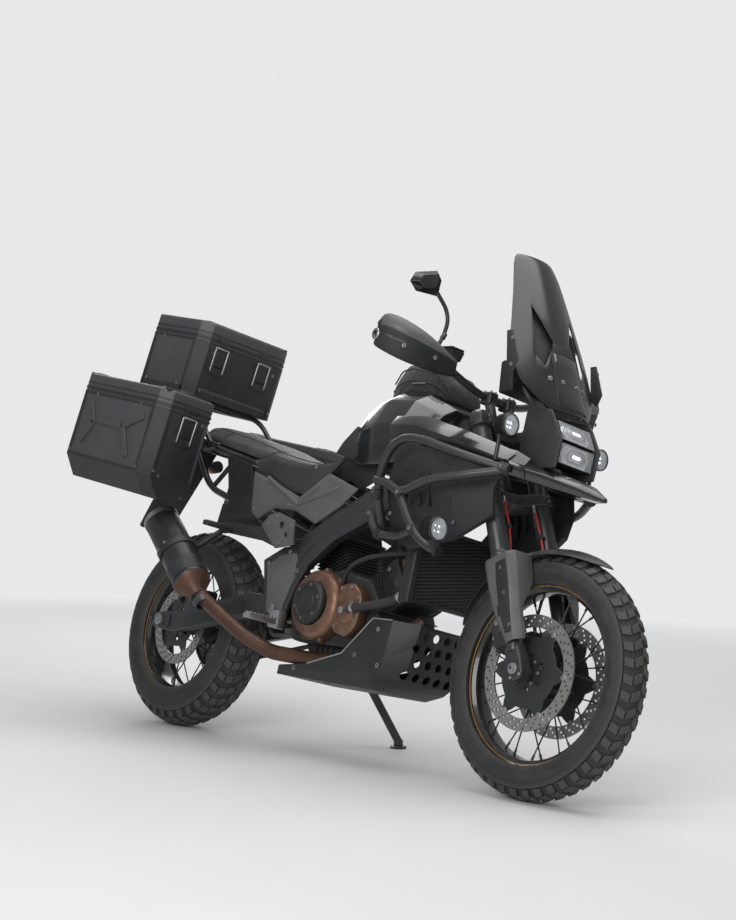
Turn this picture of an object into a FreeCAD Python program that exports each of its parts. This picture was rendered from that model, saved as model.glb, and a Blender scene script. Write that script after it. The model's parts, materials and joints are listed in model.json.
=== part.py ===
"""Adventure motorcycle with wire wheels, three metal cases and crash bars, parked on its side stand.

Units are millimetres. Every piece is drawn on the upright machine: X runs forward from the rear
axle, Y to the rider's left, Z up from the ground. One placement then leans it onto the stand.
"""
import FreeCAD, Part
import Sketcher
import math
import os
from FreeCAD import Placement, Rotation, Vector

# Driving dimensions: name, millimetres or degrees
SIZES = [
    # wheels
    ("front_radius", 329), ("front_crown", 57), ("front_height", 88), ("front_bead", 40),
    ("rear_radius", 321), ("rear_crown", 76), ("rear_height", 105), ("rear_bead", 56),
    ("crown_angle", 22), ("shoulder_angle", 80), ("rim_depth", 18), ("rim_foot", 0.55),
    ("hub_radius", 24), ("hub_flange", 41), ("flange_wall", 6), ("spoke_radius", 2.2),
    ("spoke_count", 28), ("spoke_cross", 24), ("rim_sides", 36), ("hub_sides", 12), ("disc_sides", 28),
    ("front_hub_half", 62), ("rear_hub_half", 66),
    ("front_axle_radius", 10), ("rear_axle_radius", 12.5), ("bearing_gap", 0.3),
    ("front_disc_radius", 155), ("front_disc_band", 42), ("rear_disc_radius", 130),
    ("rear_disc_band", 38), ("disc_wall", 5), ("disc_arms", 6), ("disc_arm_width", 22),
    ("teeth", 43), ("sprocket_tip", 115), ("tooth_depth", 8), ("sprocket_wall", 7), ("sprocket_boss", 56),
    ("chain_line", 92), ("drive_radius", 42), ("chain_height", 15), ("chain_width", 16),
    ("chain_gap", 0.6),
    # steering
    ("rake", 25.67), ("head_x", 1203.6), ("head_z", 960), ("fork_drop", 720.9),
    ("fork_offset", 43.4), ("fork_half", 105), ("outer_tube", 27), ("inner_tube", 21.5),
    ("outer_top", 45), ("outer_bottom", -430), ("yoke_height", 34), ("lower_yoke", -200),
    ("head_tube", 27), ("head_bottom", -160), ("bar_radius", 11.1), ("bar_bend", 60),
    ("grip_radius", 16), ("mudguard_gap", 16), ("mudguard_wall", 3.5),
    ("caliper_width", 34),
    # frame and engine
    ("pivot_x", 572), ("pivot_z", 402), ("swingarm_length", 577.7),
    ("rail_radius", 13), ("crash_radius", 13), ("crash_bend", 55), ("rack_radius", 9),
    ("pipe_radius", 23), ("muffler_radius", 56), ("skid_wall", 4),
    ("fairing_wall", 4), ("screen_wall", 4),
    # cases
    ("case_wall", 3), ("case_pitch", 7.5), ("pannier_length", 492), ("pannier_width", 190),
    ("pannier_height", 286), ("pannier_lid", 56), ("wedge_in", 48), ("wedge_up", 68),
    ("corner_cut", 34), ("topcase_length", 320), ("topcase_width", 380), ("topcase_height", 190),
    ("topcase_lid", 60), ("lid_gap", 0.4),
    # parked attitude
    ("lean_angle", 12.45), ("stand_radius", 13), ("stand_y", 150), ("stand_tilt", 34), ("stand_pin", 7),
]

doc = FreeCAD.newDocument("AdventureMotorcycle")
sheet = doc.addObject("Spreadsheet::Sheet", "Sizes")
for line, (alias, number) in enumerate(SIZES, 1):
    sheet.set("A%d" % line, alias)
    sheet.set("B%d" % line, str(number))
    sheet.setAlias("B%d" % line, alias)
doc.recompute()


class Sheet:
    """Reads a driving dimension by its name."""

    def __getattr__(self, alias):
        return float(sheet.get(alias))


S = Sheet()
PIECES = []


# Drawing helpers

def closed(points):
    """A closed wire through 3-D points."""
    points = [Vector(*p) for p in points]
    return Part.makePolygon(points + points[:1])


def slab(outline, y, depth):
    """A flat plate: an outline of (x, z) at y, as thick as depth towards the left."""
    return Part.Face(closed([(x, y, z) for x, z in outline])).extrude(Vector(0, depth, 0))


def deck(outline, z, depth):
    """A level plate: an outline of (x, y) at z, as thick as depth upwards."""
    return Part.Face(closed([(x, y, z) for x, y in outline])).extrude(Vector(0, 0, depth))


def block(x, y, z):
    """A box from three (low, high) pairs."""
    return Part.makeBox(x[1] - x[0], y[1] - y[0], z[1] - z[0], Vector(x[0], y[0], z[0]))


def pin(start, end, radius):
    """A truly round bar between two points, for what turns in a bore or takes a clamp."""
    start, end = Vector(*start), Vector(*end)
    return Part.makeCylinder(radius, (end - start).Length, start, end - start)


def flat_ring(start, direction, radius, sides):
    """Corners of a regular section with the area of a circle of that radius."""
    turn = Rotation(Vector(0, 0, 1), direction)
    reach = radius * math.sqrt(2 * math.pi / (sides * math.sin(2 * math.pi / sides)))
    angles = [2 * math.pi * (i + 0.5) / sides for i in range(sides)]
    return [start + turn.multVec(Vector(reach * math.cos(a), reach * math.sin(a), 0)) for a in angles]


def rod(start, end, radius, sides=12):
    """A bar with flats between two points."""
    start, end = Vector(*start), Vector(*end)
    ring = flat_ring(start, end - start, radius, sides)
    return Part.Face(Part.makePolygon(ring + ring[:1])).extrude(end - start)


def skin_between(first, second):
    """Flat faces between two rings: one for a flat quad, two for a twisted one."""
    faces = []
    count = len(first)
    for i in range(count):
        a, b, c, d = first[i], first[(i + 1) % count], second[(i + 1) % count], second[i]
        normal = (b - a).cross(d - a)
        flat = normal.Length > 0 and abs((c - a).dot(normal)) < 1e-6 * normal.Length
        for corners in ([(a, b, c, d)] if flat else [(a, b, c), (a, c, d)]):
            faces.append(Part.Face(Part.makePolygon([*corners, corners[0]])))
    return faces


def loft(rows):
    """A solid with flat faces through closed rings of 3-D points, each ring flat in itself."""
    rings = [[Vector(*p) for p in row] for row in rows]
    faces = [Part.Face(Part.makePolygon(ring + ring[:1])) for ring in (rings[0], rings[-1])]
    for first, second in zip(rings, rings[1:]):
        faces += skin_between(first, second)
    solid = Part.Solid(Part.Shell(faces))
    solid.fix(1e-6, 1e-6, 1e-6)
    return solid if solid.Volume > 0 else solid.reversed()


def bent_route(points, bend):
    """The points with each corner cut into chords of its tangent arc."""
    points = [Vector(*p) for p in points]
    route = [points[0]]
    for before, corner, after in zip(points, points[1:], points[2:]):
        back = (before - corner).normalize()
        ahead = (after - corner).normalize()
        half = (math.pi - back.getAngle(ahead)) / 2
        run = min((before - corner).Length, (after - corner).Length) * 0.45
        reach = min(bend * math.tan(half), run)
        route.append(corner + back * reach)
        if half > math.radians(22):
            radius = reach / math.tan(half)
            route.append(corner + (back + ahead).normalize() * (radius / math.cos(half) - radius))
        route.append(corner + ahead * reach)
    return route + [points[-1]]


def tube(points, radius, bend, sides=8):
    """A bar of many flats, bent along points and mitred at each turn."""
    route = bent_route(points, bend)
    runs = [(b - a).normalize() for a, b in zip(route, route[1:])]
    ring = flat_ring(route[0], runs[0], radius, sides)
    rings = [ring]
    for i, point in enumerate(route[1:]):
        mitre = runs[i] + runs[min(i + 1, len(runs) - 1)]
        ring = [p + runs[i] * ((point - p).dot(mitre) / runs[i].dot(mitre)) for p in ring]
        rings.append(ring)
    return loft(rings)


def mirrored(shape):
    """The same shape on the other side of the machine."""
    return shape.mirror(Vector(0, 0, 0), Vector(0, 1, 0))


def both(*shapes):
    """The shapes and their mirror images."""
    return [s for shape in shapes for s in (shape, mirrored(shape))]


def fused(shapes):
    """One solid from overlapping ones."""
    shapes = list(shapes)
    return shapes[0].multiFuse(shapes[1:]).removeSplitter() if len(shapes) > 1 else shapes[0]


def piece(name, shapes, home=None):
    """A sub-part whose shape is set here, placed on the upright machine by home."""
    shapes = shapes if isinstance(shapes, list) else [shapes]
    solids = [solid for shape in shapes for solid in shape.Solids]
    part = doc.addObject("Part::Feature", name)
    part.Label = name
    part.Shape = solids[0] if len(solids) == 1 else Part.makeCompound(solids)
    part.Placement = (home or Placement()).multiply(part.Placement)
    PIECES.append(part)
    return part


def origin_feature(body, role):
    """The body's own origin plane or axis."""
    return next(f for f in body.Origin.OriginFeatures if f.Role == role)


def value(expression):
    """The number that an expression gives."""
    return float(sheet.evalExpression(expression))


def bound_sketch(body, name, role, corners):
    """A closed sketch with each corner's place bound to the sheet."""
    sketch = body.newObject("Sketcher::SketchObject", name)
    sketch.AttachmentSupport = [(origin_feature(body, role), "")]
    sketch.MapMode = "FlatFace"
    points = [Vector(value(a), value(b), 0) for a, b in corners]
    count = len(points)
    for i, (start, end) in enumerate(zip(points, points[1:] + points[:1])):
        sketch.addGeometry(Part.LineSegment(start, end), False)
    for i in range(count):
        sketch.addConstraint(Sketcher.Constraint("Coincident", i, 2, (i + 1) % count, 1))
    for i, pair in enumerate(corners):
        for kind, text in zip(("DistanceX", "DistanceY"), pair):
            number = sketch.addConstraint(Sketcher.Constraint(kind, -1, 1, i, 1, value(text)))
            sketch.setExpression("Constraints[%d]" % number, text)
    return sketch


def new_body(name, home):
    """A PartDesign body that will be one sub-part."""
    body = doc.addObject("PartDesign::Body", name)
    body.Label = name
    body.Placement = home
    PIECES.append(body)
    return body


# Places that the pieces share

REAR_AXLE = (S.pivot_x - math.sqrt(S.swingarm_length ** 2 - (S.pivot_z - S.rear_radius) ** 2),
             0, S.rear_radius)
FORK = Placement(Vector(S.head_x, 0, S.head_z), Rotation(Vector(0, 1, 0), -S.rake))
FRONT_AXLE = FORK.multVec(Vector(S.fork_offset, 0, -S.fork_drop))
REAR_HOME = Placement(Vector(*REAR_AXLE), Rotation())
FRONT_HOME = Placement(FRONT_AXLE, Rotation())


# Wheels

def make_tyre(name, end, home):
    """A tyre turned from its section: radius along X, width along Y."""
    r = {key: "Sizes.%s_%s" % (end, key) for key in ("radius", "crown", "height", "bead")}
    seat = "%s - %s" % (r["radius"], r["height"])
    body = new_body(name, home)
    hub = "%s - %s" % (r["radius"], r["crown"])

    def on_crown(degrees, sign):
        return ("%s + %s * cos(%s)" % (hub, r["crown"], degrees),
                "%d * %s * sin(%s)" % (sign, r["crown"], degrees))

    shoulder, edge = "Sizes.shoulder_angle * 1 deg", "Sizes.crown_angle * 1 deg"
    corners = [(seat, "-" + r["bead"]), on_crown(shoulder, -1), on_crown(edge, -1), on_crown(edge, 1),
               on_crown(shoulder, 1), (seat, r["bead"])]
    sketch = bound_sketch(body, name + "_section", "XY_Plane", corners)
    turn = body.newObject("PartDesign::Revolution", name + "_turn")
    turn.Profile = sketch
    turn.ReferenceAxis = (sketch, ["V_Axis"])
    turn.Angle = 360
    sketch.Visibility = False


def turned(rows, sides):
    """A section of (radius, width) corners carried round the axle in flat steps."""
    rings = []
    for i in range(sides):
        a = 2 * math.pi * i / sides
        rings.append([Vector(r * math.cos(a), y, r * math.sin(a)) for r, y in rows])
    faces = []
    for first, second in zip(rings, rings[1:] + rings[:1]):
        for k in range(len(rows)):
            after = (k + 1) % len(rows)
            corners = [first[k], first[after], second[after], second[k]]
            corners = [c for j, c in enumerate(corners) if not c.isEqual(corners[j - 1], 1e-6)]
            if len(corners) > 2:
                faces.append(Part.Face(Part.makePolygon([*corners, corners[0]])))
    solid = Part.Solid(Part.Shell(faces)).removeSplitter()
    return solid if solid.Volume > 0 else solid.reversed()


def bored(solid, radius, half):
    """The solid with a round hole along the axle."""
    return solid.cut(Part.makeCylinder(radius, half * 2, Vector(0, -half, 0), Vector(0, 1, 0)))


def make_rim(name, seat, bead, half, bore, home):
    """Rim, hub and crossed wire spokes in one."""
    foot = seat - S.rim_depth
    rim = turned([(foot, -bead * S.rim_foot), (seat, -bead), (seat, bead), (foot, bead * S.rim_foot)],
                 int(S.rim_sides))
    flange = half - S.flange_wall * 2
    hub = turned([(0, -half), (S.hub_flange, -half), (S.hub_flange, -flange), (S.hub_radius, -flange),
                  (S.hub_radius, flange), (S.hub_flange, flange), (S.hub_flange, half), (0, half)],
                 int(S.hub_sides))
    spokes = []
    count = int(S.spoke_count)
    for i in range(count):
        side = 1 if i % 2 else -1
        lead = S.spoke_cross if i % 4 < 2 else -S.spoke_cross
        at_rim = math.radians(360.0 * i / count)
        at_hub = at_rim + math.radians(lead * 2)
        inner, outer = S.hub_flange - S.spoke_radius * 2, foot + S.rim_depth / 3
        spokes.append(rod(
            (inner * math.cos(at_hub), side * (flange + S.flange_wall / 2), inner * math.sin(at_hub)),
            (outer * math.cos(at_rim), side * bead * S.rim_foot / 3, outer * math.sin(at_rim)),
            S.spoke_radius, 4))
    piece(name, bored(fused([rim, hub] + spokes), bore, half + 1), home)


def make_disc_shape(radius, band, bore, y):
    """A brake disc on its spider."""
    inner, outer = radius - band, bore + 20
    edge = y + S.disc_wall
    ring = turned([(inner, y), (radius, y), (radius, edge), (inner, edge)], int(S.disc_sides))
    core = turned([(0, y), (outer, y), (outer, edge), (0, edge)], int(S.hub_sides))
    arms = []
    for i in range(int(S.disc_arms)):
        arm = Part.makeBox(radius - band - bore, S.disc_wall, S.disc_arm_width,
                           Vector(bore + 10, y, -S.disc_arm_width / 2))
        arms.append(arm.rotated(Vector(), Vector(0, 1, 0), 360.0 * i / int(S.disc_arms)))
    reach = abs(y) + S.disc_wall * 2
    return fused([ring, core] + arms).cut(rod((0, -reach, 0), (0, reach, 0), bore))


make_tyre("front_tyre", "front", FRONT_HOME)
make_tyre("rear_tyre", "rear", REAR_HOME)
make_rim("front_rim", S.front_radius - S.front_height, S.front_bead, S.front_hub_half,
         S.front_axle_radius + S.bearing_gap, FRONT_HOME)
make_rim("rear_rim", S.rear_radius - S.rear_height, S.rear_bead, S.rear_hub_half,
         S.rear_axle_radius + S.bearing_gap, REAR_HOME)
disc_bore = S.front_axle_radius + 6
piece("front_discs", [make_disc_shape(S.front_disc_radius, S.front_disc_band, disc_bore, S.front_hub_half),
                      make_disc_shape(S.front_disc_radius, S.front_disc_band, disc_bore,
                                      -S.front_hub_half - S.disc_wall)], FRONT_HOME)
piece("rear_disc", make_disc_shape(S.rear_disc_radius, S.rear_disc_band, S.rear_axle_radius + 6,
                                   -S.rear_hub_half - S.disc_wall), REAR_HOME)


def make_sprocket():
    """Toothed wheel on the left of the rear hub, with its carrier boss."""
    count = int(S.teeth)
    ring = []
    for i in range(count):
        for part, r in ((0.0, S.sprocket_tip - S.tooth_depth), (0.5, S.sprocket_tip)):
            a = 2 * math.pi * (i + part) / count
            ring.append((r * math.cos(a), S.chain_line - S.sprocket_wall / 2, r * math.sin(a)))
    plate = Part.Face(closed(ring)).extrude(Vector(0, S.sprocket_wall, 0))
    boss = turned([(0, S.rear_hub_half), (S.sprocket_boss, S.rear_hub_half), (S.sprocket_boss, S.chain_line),
                   (0, S.chain_line)], int(S.hub_sides))
    bore = rod((0, 0, 0), (0, S.chain_line * 2, 0), S.rear_axle_radius + 6)
    piece("rear_sprocket", fused([plate, boss]).cut(bore), REAR_HOME)


make_sprocket()


# Steering: everything here is drawn along the steering axis, forward X, left Y, up the axis Z

def leg(y, low, high, radius):
    return rod((S.fork_offset, y, low), (S.fork_offset, y, high), radius, 12)


def yoke(z, height, reach):
    """A yoke plate that clamps both fork tubes to the steering stem."""
    outline = [(-reach, -38), (-reach, 38), (S.fork_offset - 28, S.fork_half + 20),
               (S.fork_offset + 10, S.fork_half + 36), (S.fork_offset + 36, S.fork_half + 20),
               (S.fork_offset + 36, S.fork_half - 20), (36, 28), (36, -28),
               (S.fork_offset + 36, -S.fork_half + 20), (S.fork_offset + 36, -S.fork_half - 20),
               (S.fork_offset + 10, -S.fork_half - 36), (S.fork_offset - 28, -S.fork_half - 20)]
    return deck(outline, z, height)


tubes = both(leg(S.fork_half, S.outer_bottom, S.outer_top, S.outer_tube))
stem = pin((0, 0, S.lower_yoke), (0, 0, S.yoke_height), S.head_tube - 11)
piece("fork_tubes", fused(tubes + [stem, yoke(S.lower_yoke, S.yoke_height, 34), yoke(0, S.yoke_height, 34)]),
      FORK)

lug = block((S.fork_offset - 26, S.fork_offset + 26), (S.fork_half - 20, S.fork_half + 20),
            (-S.fork_drop - 30, -S.fork_drop + 62))
axle = pin((S.fork_offset, -S.fork_half - 26, -S.fork_drop), (S.fork_offset, S.fork_half + 26, -S.fork_drop),
           S.front_axle_radius)
inner_legs = both(leg(S.fork_half, -S.fork_drop, S.outer_bottom, S.inner_tube), lug)
piece("fork_legs", fused(inner_legs + [axle]), FORK)

# Mudguard blade: sections round the axle, each with its angle from the top and its half width
BLADE = [(-72, 24), (-50, 60), (-24, 68), (0, 66), (18, 48), (28, 12)]
mudguard_radius = S.front_radius + S.mudguard_gap
blade_rows = []
for angle, half in BLADE:
    drop = 26 * half / 68
    outer = [(mudguard_radius - drop, half), (mudguard_radius - drop / 5, half * 0.76),
             (mudguard_radius, half * 0.3)]
    outer = [(r, -y) for r, y in outer] + [(r, y) for r, y in reversed(outer)]
    section = outer + [(r - S.mudguard_wall, y * 0.96) for r, y in reversed(outer)]
    turn = Rotation(Vector(0, 1, 0), angle)
    blade_rows.append([FRONT_AXLE + turn.multVec(Vector(0, y, r)) for r, y in section])
blade = loft(blade_rows)
# one row per height above the axle: height, back edge, front edge, outer side, inner side at the front
GUARD = [(mudguard_radius - 29.1, -34, 66, 36, -42), (mudguard_radius - 104.1, -36, 62, 36, -42),
         (160.9, -32, 48, 34, 4), (70.9, -10, 44, 34, 4)]
guard_rows = []
for z, back, front, out, inn in GUARD:
    u, v = S.fork_offset, S.fork_half
    skin = [(u + back, v + out - 6), (u + back + 12, v + out), (u + front - 16, v + out),
            (u + front, v + out - 16), (u + front, v + inn)]
    back_skin = [(a - (0 if i < 3 else S.mudguard_wall), b - (S.mudguard_wall if i < 4 else 0))
                 for i, (a, b) in enumerate(skin)]
    guard_rows.append([(a, b, z - S.fork_drop) for a, b in skin + back_skin[::-1]])
leg_face = S.fork_half + S.inner_tube + 0.6
guard_mount = block((S.fork_offset - 14, S.fork_offset + 14), (leg_face, S.fork_half + 34),
                    (150.9 - S.fork_drop, 175.9 - S.fork_drop))
guards = both(loft(guard_rows).fuse(guard_mount))
for g in guards:
    g.Placement = FORK.multiply(g.Placement)
piece("front_mudguard", fused([blade] + guards))

# Radial calipers behind each disc
caliper = block((-62, -18), (0, S.caliper_width), (0, 86))
caliper.translate(Vector(S.fork_offset - 30, S.front_hub_half + (S.disc_wall - S.caliper_width) / 2,
                         -S.fork_drop + 80))
slot = pin((S.fork_offset, S.front_hub_half - 2, -S.fork_drop),
           (S.fork_offset, S.front_hub_half + S.disc_wall + 2, -S.fork_drop), S.front_disc_radius + 3)
caliper_arm = block((-30, S.fork_offset - S.inner_tube - 0.5), (S.front_hub_half + S.disc_wall + 3, 112),
                    (84.9 - S.fork_drop, 120.9 - S.fork_drop))
caliper = caliper.cut(slot).fuse(caliper_arm)
piece("front_calipers", both(caliper), FORK)

# Handlebar in the upright machine's frame: x, y, z
BAR = [(1180, 46, 1085), (1178, 80, 1088), (1166, 150, 1112), (1140, 258, 1160), (1112, 410, 1158)]
bar_half = tube(BAR, S.bar_radius, S.bar_bend)
bar_middle = rod((BAR[0][0], -50, BAR[0][2]), (BAR[0][0], 50, BAR[0][2]), S.bar_radius, 8)
grip = rod((1129, 300, 1159.5), (1113.5, 402, 1158.2), S.grip_radius, 10)
weight = rod((1112.5, 406, 1158), (1110, 422, 1158), S.grip_radius + 1, 10)
switch = block((1112, 1160), (262, 306), (1140, 1186))
riser = rod((34, 38, S.yoke_height), (34, 38, 108), 15, 10)
riser.Placement = FORK
clamp = block((1162, 1202), (22, 54), (1068, 1102))
piece("handlebar", fused([bar_middle] + both(bar_half, grip, weight, switch, riser, clamp)))

# Guards round each grip: x, y, low z, high z of the outer face, from the bar end inwards
HAND = [(1082, 432, 1138, 1188), (1140, 436, 1114, 1208), (1192, 408, 1092, 1192), (1220, 306, 1085, 1168),
        (1206, 214, 1098, 1150)]
rows = []
for x, y, low, high in HAND:
    rows.append([(x, y, low), (x, y, high), (x - 5, y - 5, high), (x - 5, y - 5, low)])
bar_end = rod((1110, 423.6, 1158), (1110, 431, 1158), 8)
shield = fused([loft(pair) for pair in zip(rows, rows[1:])] + [bar_end])
piece("handguards", both(shield))

# Mirror heads on bent stalks
head = [[(1108, 248, 1326), (1108, 245, 1375), (1108, 268, 1397), (1108, 347, 1367), (1108, 359, 1337),
         (1108, 330, 1316)],
        [(1134, 264, 1333), (1134, 262, 1368), (1134, 278, 1384), (1134, 335, 1362), (1134, 343, 1341),
         (1134, 322, 1326)]]
stalk = tube([(1145, 246, 1167.6), (1142, 218, 1225), (1136, 212, 1284), (1122, 270, 1340)], 6, 30)
piece("mirrors", both(fused([loft(head), stalk])))

# hoses from the lower yoke down to each caliper, along the steering axis as above
HOSE = [(50, 62, -200.9), (58, 64.5, -0.416 * S.fork_drop), (50, 72, -0.555 * S.fork_drop),
        (12, 77, -0.666 * S.fork_drop), (-26, 76, 168.5 - S.fork_drop)]
piece("brake_hoses", both(tube(HOSE, 3.5, 80, 6)), FORK)


# Frame

NOSE_BACK = 1380
head_tube = rod((0, 0, S.head_bottom), (0, 0, -5), S.head_tube)
head_tube = head_tube.cut(pin((0, 0, S.head_bottom - 10), (0, 0, 10), S.head_tube - 11 + S.bearing_gap))
head_tube.Placement = FORK
# spar stations: x, middle y, middle z, width, height
SPAR = [(1196, 40, 900, 44, 100), (1060, 104, 838, 40, 104), (780, 146, 668, 34, 96),
        (640, 150, 560, 30, 130)]
rows = []
for x, y, z, wide, high in SPAR:
    w, t = wide / 2, high / 2
    rows.append([(x, y - w, z - t), (x, y + w, z - t), (x, y + w, z + t), (x, y - w, z + t)])
spar = loft(rows)
PIVOT_PLATE = [(565, 590), (650, 600), (690, 540), (655, 470), (632, 400), (636, 356), (596, 346), (535, 372),
               (505, 470), (480, 545)]
pivot_plate = slab(PIVOT_PLATE, 148, 15)
gusset = block((1150, 1205), (-45, 45), (868, 932)).cut(
    pin((0, 0, S.head_bottom - 10), (0, 0, 10), S.head_tube - 11 + S.bearing_gap).transformed(FORK.Matrix))
shaft = rod((S.pivot_x, -163, S.pivot_z), (S.pivot_x, 163, S.pivot_z), 10)
# the side stand folds back and up about this tilted pin, so its foot tucks in beside the frame
STAND_PIVOT = Vector(622, S.stand_y, 300)
STAND_AXIS = Vector(0, math.cos(math.radians(S.stand_tilt)), math.sin(math.radians(S.stand_tilt)))
# stay that carries the nose, between the fork tubes, and the hangers for radiator and subframe
nose_stay = block((20, 260), (-26, 26), (-96, -66)).cut(rod((0, 0, -200), (0, 0, 0), S.head_tube - 7))
nose_stay.Placement = FORK
nose_stay = nose_stay.cut(block((NOSE_BACK - 0.3, NOSE_BACK + 120), (-100, 100), (800, 1200)))
hangers = both(block((1118, 1130), (66, 84), (690.3, 830)), block((705, 718), (108, 136), (640, 748)))
stand_pin = pin(STAND_PIVOT - STAND_AXIS * 10, STAND_PIVOT + STAND_AXIS * 30, S.stand_pin)
stand_disc = rod(STAND_PIVOT - STAND_AXIS * 14, STAND_PIVOT - STAND_AXIS * 6, 24)
stand_strut = block((574, 602), (118, 138), (286, 366)).fuse(block((574, 602), (118, 150), (350, 366)))
piece("main_frame", fused([head_tube, gusset, shaft, nose_stay, stand_pin, stand_disc, stand_strut] + hangers
                          + both(spar, pivot_plate)))

RAIL = [(700, 117, 735), (420, 117, 830), (100, 117, 895), (-150, 112, 945)]
STRUT = [(600, 136, 592), (350, 125, 690), (60, 119, 775), (-60, 115, 915)]
rails = both(tube(RAIL, S.rail_radius, 60), tube(STRUT, S.rail_radius - 2, 60))
CROSS = [(420, 826), (100, 892), (-40, 918)]
cross = [rod((x, -115, z), (x, 115, z), S.rail_radius - 3, 8) for x, z in CROSS]
piece("subframe", fused(rails + cross))

# Swingarm: side outline x, z from the axle, then from the pivot
AXLE_END = [(-48, -25), (-48, 25), (60, 35)]
PIVOT_END = [(-152, 44), (28, 34), (32, -30), (-152, -40)]
arm_outline = [(REAR_AXLE[0] + x, REAR_AXLE[2] + z) for x, z in AXLE_END]
arm_outline += [(S.pivot_x + x, S.pivot_z + z) for x, z in PIVOT_END]
arm_outline += [(REAR_AXLE[0] + 60, REAR_AXLE[2] - 33)]
arm = slab(arm_outline, 112, 30)
pivot_tube = rod((S.pivot_x, -142, S.pivot_z), (S.pivot_x, 142, S.pivot_z), 28)
bridge = block((S.pivot_x - 142, S.pivot_x - 52), (-115, 115), (S.pivot_z - 24, S.pivot_z + 34))
rear_axle = pin((REAR_AXLE[0], -160, REAR_AXLE[2]), (REAR_AXLE[0], 160, REAR_AXLE[2]), S.rear_axle_radius)
pivot_bore = rod((S.pivot_x, -150, S.pivot_z), (S.pivot_x, 150, S.pivot_z), 10.3)
rear_caliper = block((70, 150), (-104, -52), (71, 119)).fuse(block((60, 150), (-115, -98), (29, 99)))
rear_slot = block((0, 200), (-S.rear_hub_half - S.disc_wall - 2, -S.rear_hub_half + 2), (-21, 115))
rear_caliper = rear_caliper.cut(rear_slot)
rear_caliper.translate(Vector(*REAR_AXLE))
swing = fused(both(arm) + [pivot_tube, bridge, rear_axle]).cut(pivot_bore)
piece("swingarm", fused([swing, rear_caliper]))

shock_rows = [(0, 0), (18, 0), (18, 24), (34, 30), (34, 190), (20, 200), (20, 250), (0, 250)]
shock = turned(shock_rows, 12)
shock.rotate(Vector(), Vector(1, 0, 0), 90)
piece("shock", shock, Placement(Vector(452, 0, 440), Rotation(Vector(0, 1, 0), 12)))


def chain_loop(inner):
    """The outline of the chain round both sprockets, inner millimetres outside their tips."""
    rear, front = Vector(REAR_AXLE[0], 0, REAR_AXLE[2]), Vector(650, 0, 410)
    big, small = S.sprocket_tip + S.chain_gap + inner, S.drive_radius + S.chain_gap + inner
    gap = front - rear
    slope = math.atan2(gap.z, gap.x)
    spread = math.acos((big - small) / gap.Length)

    def around(centre, radius, first, last, steps):
        """Corners of flats that touch a circle, so that the loop never cuts into the sprocket."""
        turn = (last - first) / steps
        reach = radius / math.cos(turn / 2)
        inner = [first + turn * (k + 0.5) for k in range(steps)]
        corners = [(radius, first)] + [(reach, angle) for angle in inner] + [(radius, last)]
        return [(centre.x + r * math.cos(a), centre.z + r * math.sin(a)) for r, a in corners]

    top, low = slope + spread, slope - spread
    return around(front, small, low, top, 6) + around(rear, big, top, low + 2 * math.pi, 10)


chain_inside = S.chain_line - S.chain_width / 2
chain = slab(chain_loop(S.chain_height), chain_inside, S.chain_width)
piece("chain", chain.cut(slab(chain_loop(0), chain_inside - 1, S.chain_width + 2)))


# Engine

CASE = [(612, 330), (660, 318), (930, 318), (990, 360), (990, 440), (930, 520), (800, 545), (665, 520),
        (612, 450)]
SUMP = [(660, 325), (700, 255), (900, 255), (960, 325)]
case = fused([slab(CASE, -118, 236), slab(SUMP, -88, 176)])
case = case.cut(block((600, 718), (80, 130), (338, 482)))
drive = rod((650, 76, 410), (650, 98, 410), S.drive_radius - 3, 16)
cap = rod((738, -186, 432), (738, -169.5, 432), 64, 20)
piece("engine_case", [fused([case, drive]), cap])

clutch = rod((752, -169, 430), (752, -118, 430), 104, 24)
pump = slab([(850, 492), (905, 505), (952, 462), (946, 380), (905, 345), (840, 360)], -158, 40)
right_cover = fused([clutch, pump])
left_cover = rod((780, 118, 430), (780, 168, 430), 92, 24)
front_cover = slab([(612, 346), (612, 462), (690, 480), (690, 340)], 118, 26)
piece("engine_covers", [right_cover, fused([left_cover, front_cover])])


def cylinder_block(base, angle):
    """A finned cylinder with its head, leaning forward by angle from the base point."""
    parts = [block((-62, 62), (-64, 64), (0, 118)), block((-74, 74), (-78, 78), (118, 196))]
    parts += [block((-70, 70), (-72, 72), (z, z + 5)) for z in (30, 52, 74, 96)]
    barrel = fused(parts)
    barrel.Placement = Placement(Vector(*base), Rotation(Vector(0, 1, 0), angle))
    return barrel


barrels = [cylinder_block((874, 0, 452), 58), cylinder_block((722, 0, 510), -24)]
port, port_out = [barrels[0].Placement.multVec(Vector(74.4 + out, -45, 157)) for out in (0, 30)]
piece("cylinders", [barrel.cut(case) for barrel in barrels])

radiator = fused([block((1118, 1150), (-150, 150), (470, 690)), block((1112, 1156), (-172, -150), (462, 698)),
              block((1112, 1156), (150, 172), (462, 698))])

HEADER = [port, port_out, (1080, -76, 390), (1076, -113, 330), (1020, -114, 280), (900, -114, 274),
          (720, -116, 272), (600, -160, 272), (510, -205, 306), (413, -232, 356), (315, -257, 408)]
muffler_front, muffler_back = Vector(296, -260, 424), Vector(63, -280, 629)
along = (muffler_back - muffler_front).normalize()
header = tube(HEADER, S.pipe_radius, 120)
joint = rod(muffler_front - along * 2, muffler_front + along * 24, S.muffler_radius + 4, 18)
link = rod(Vector(*HEADER[-1]), muffler_front, S.pipe_radius)
piece("exhaust_pipes", fused([header, link, joint]))
can = rod(muffler_front + along * 24.3, muffler_back, S.muffler_radius, 18)
can = can.cut(rod(muffler_back - along * 90, muffler_back + along * 10, 30))
band = rod(muffler_front + along * 150, muffler_front + along * 176, S.muffler_radius + 4, 18)
hanger = rod(muffler_front + along * 163 + Vector(10, 56, 20), (240, -150, 636), 9, 6)
piece("muffler", fused([can, band.cut(rod(muffler_front, muffler_back, S.muffler_radius - 5)), hanger]))

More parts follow.
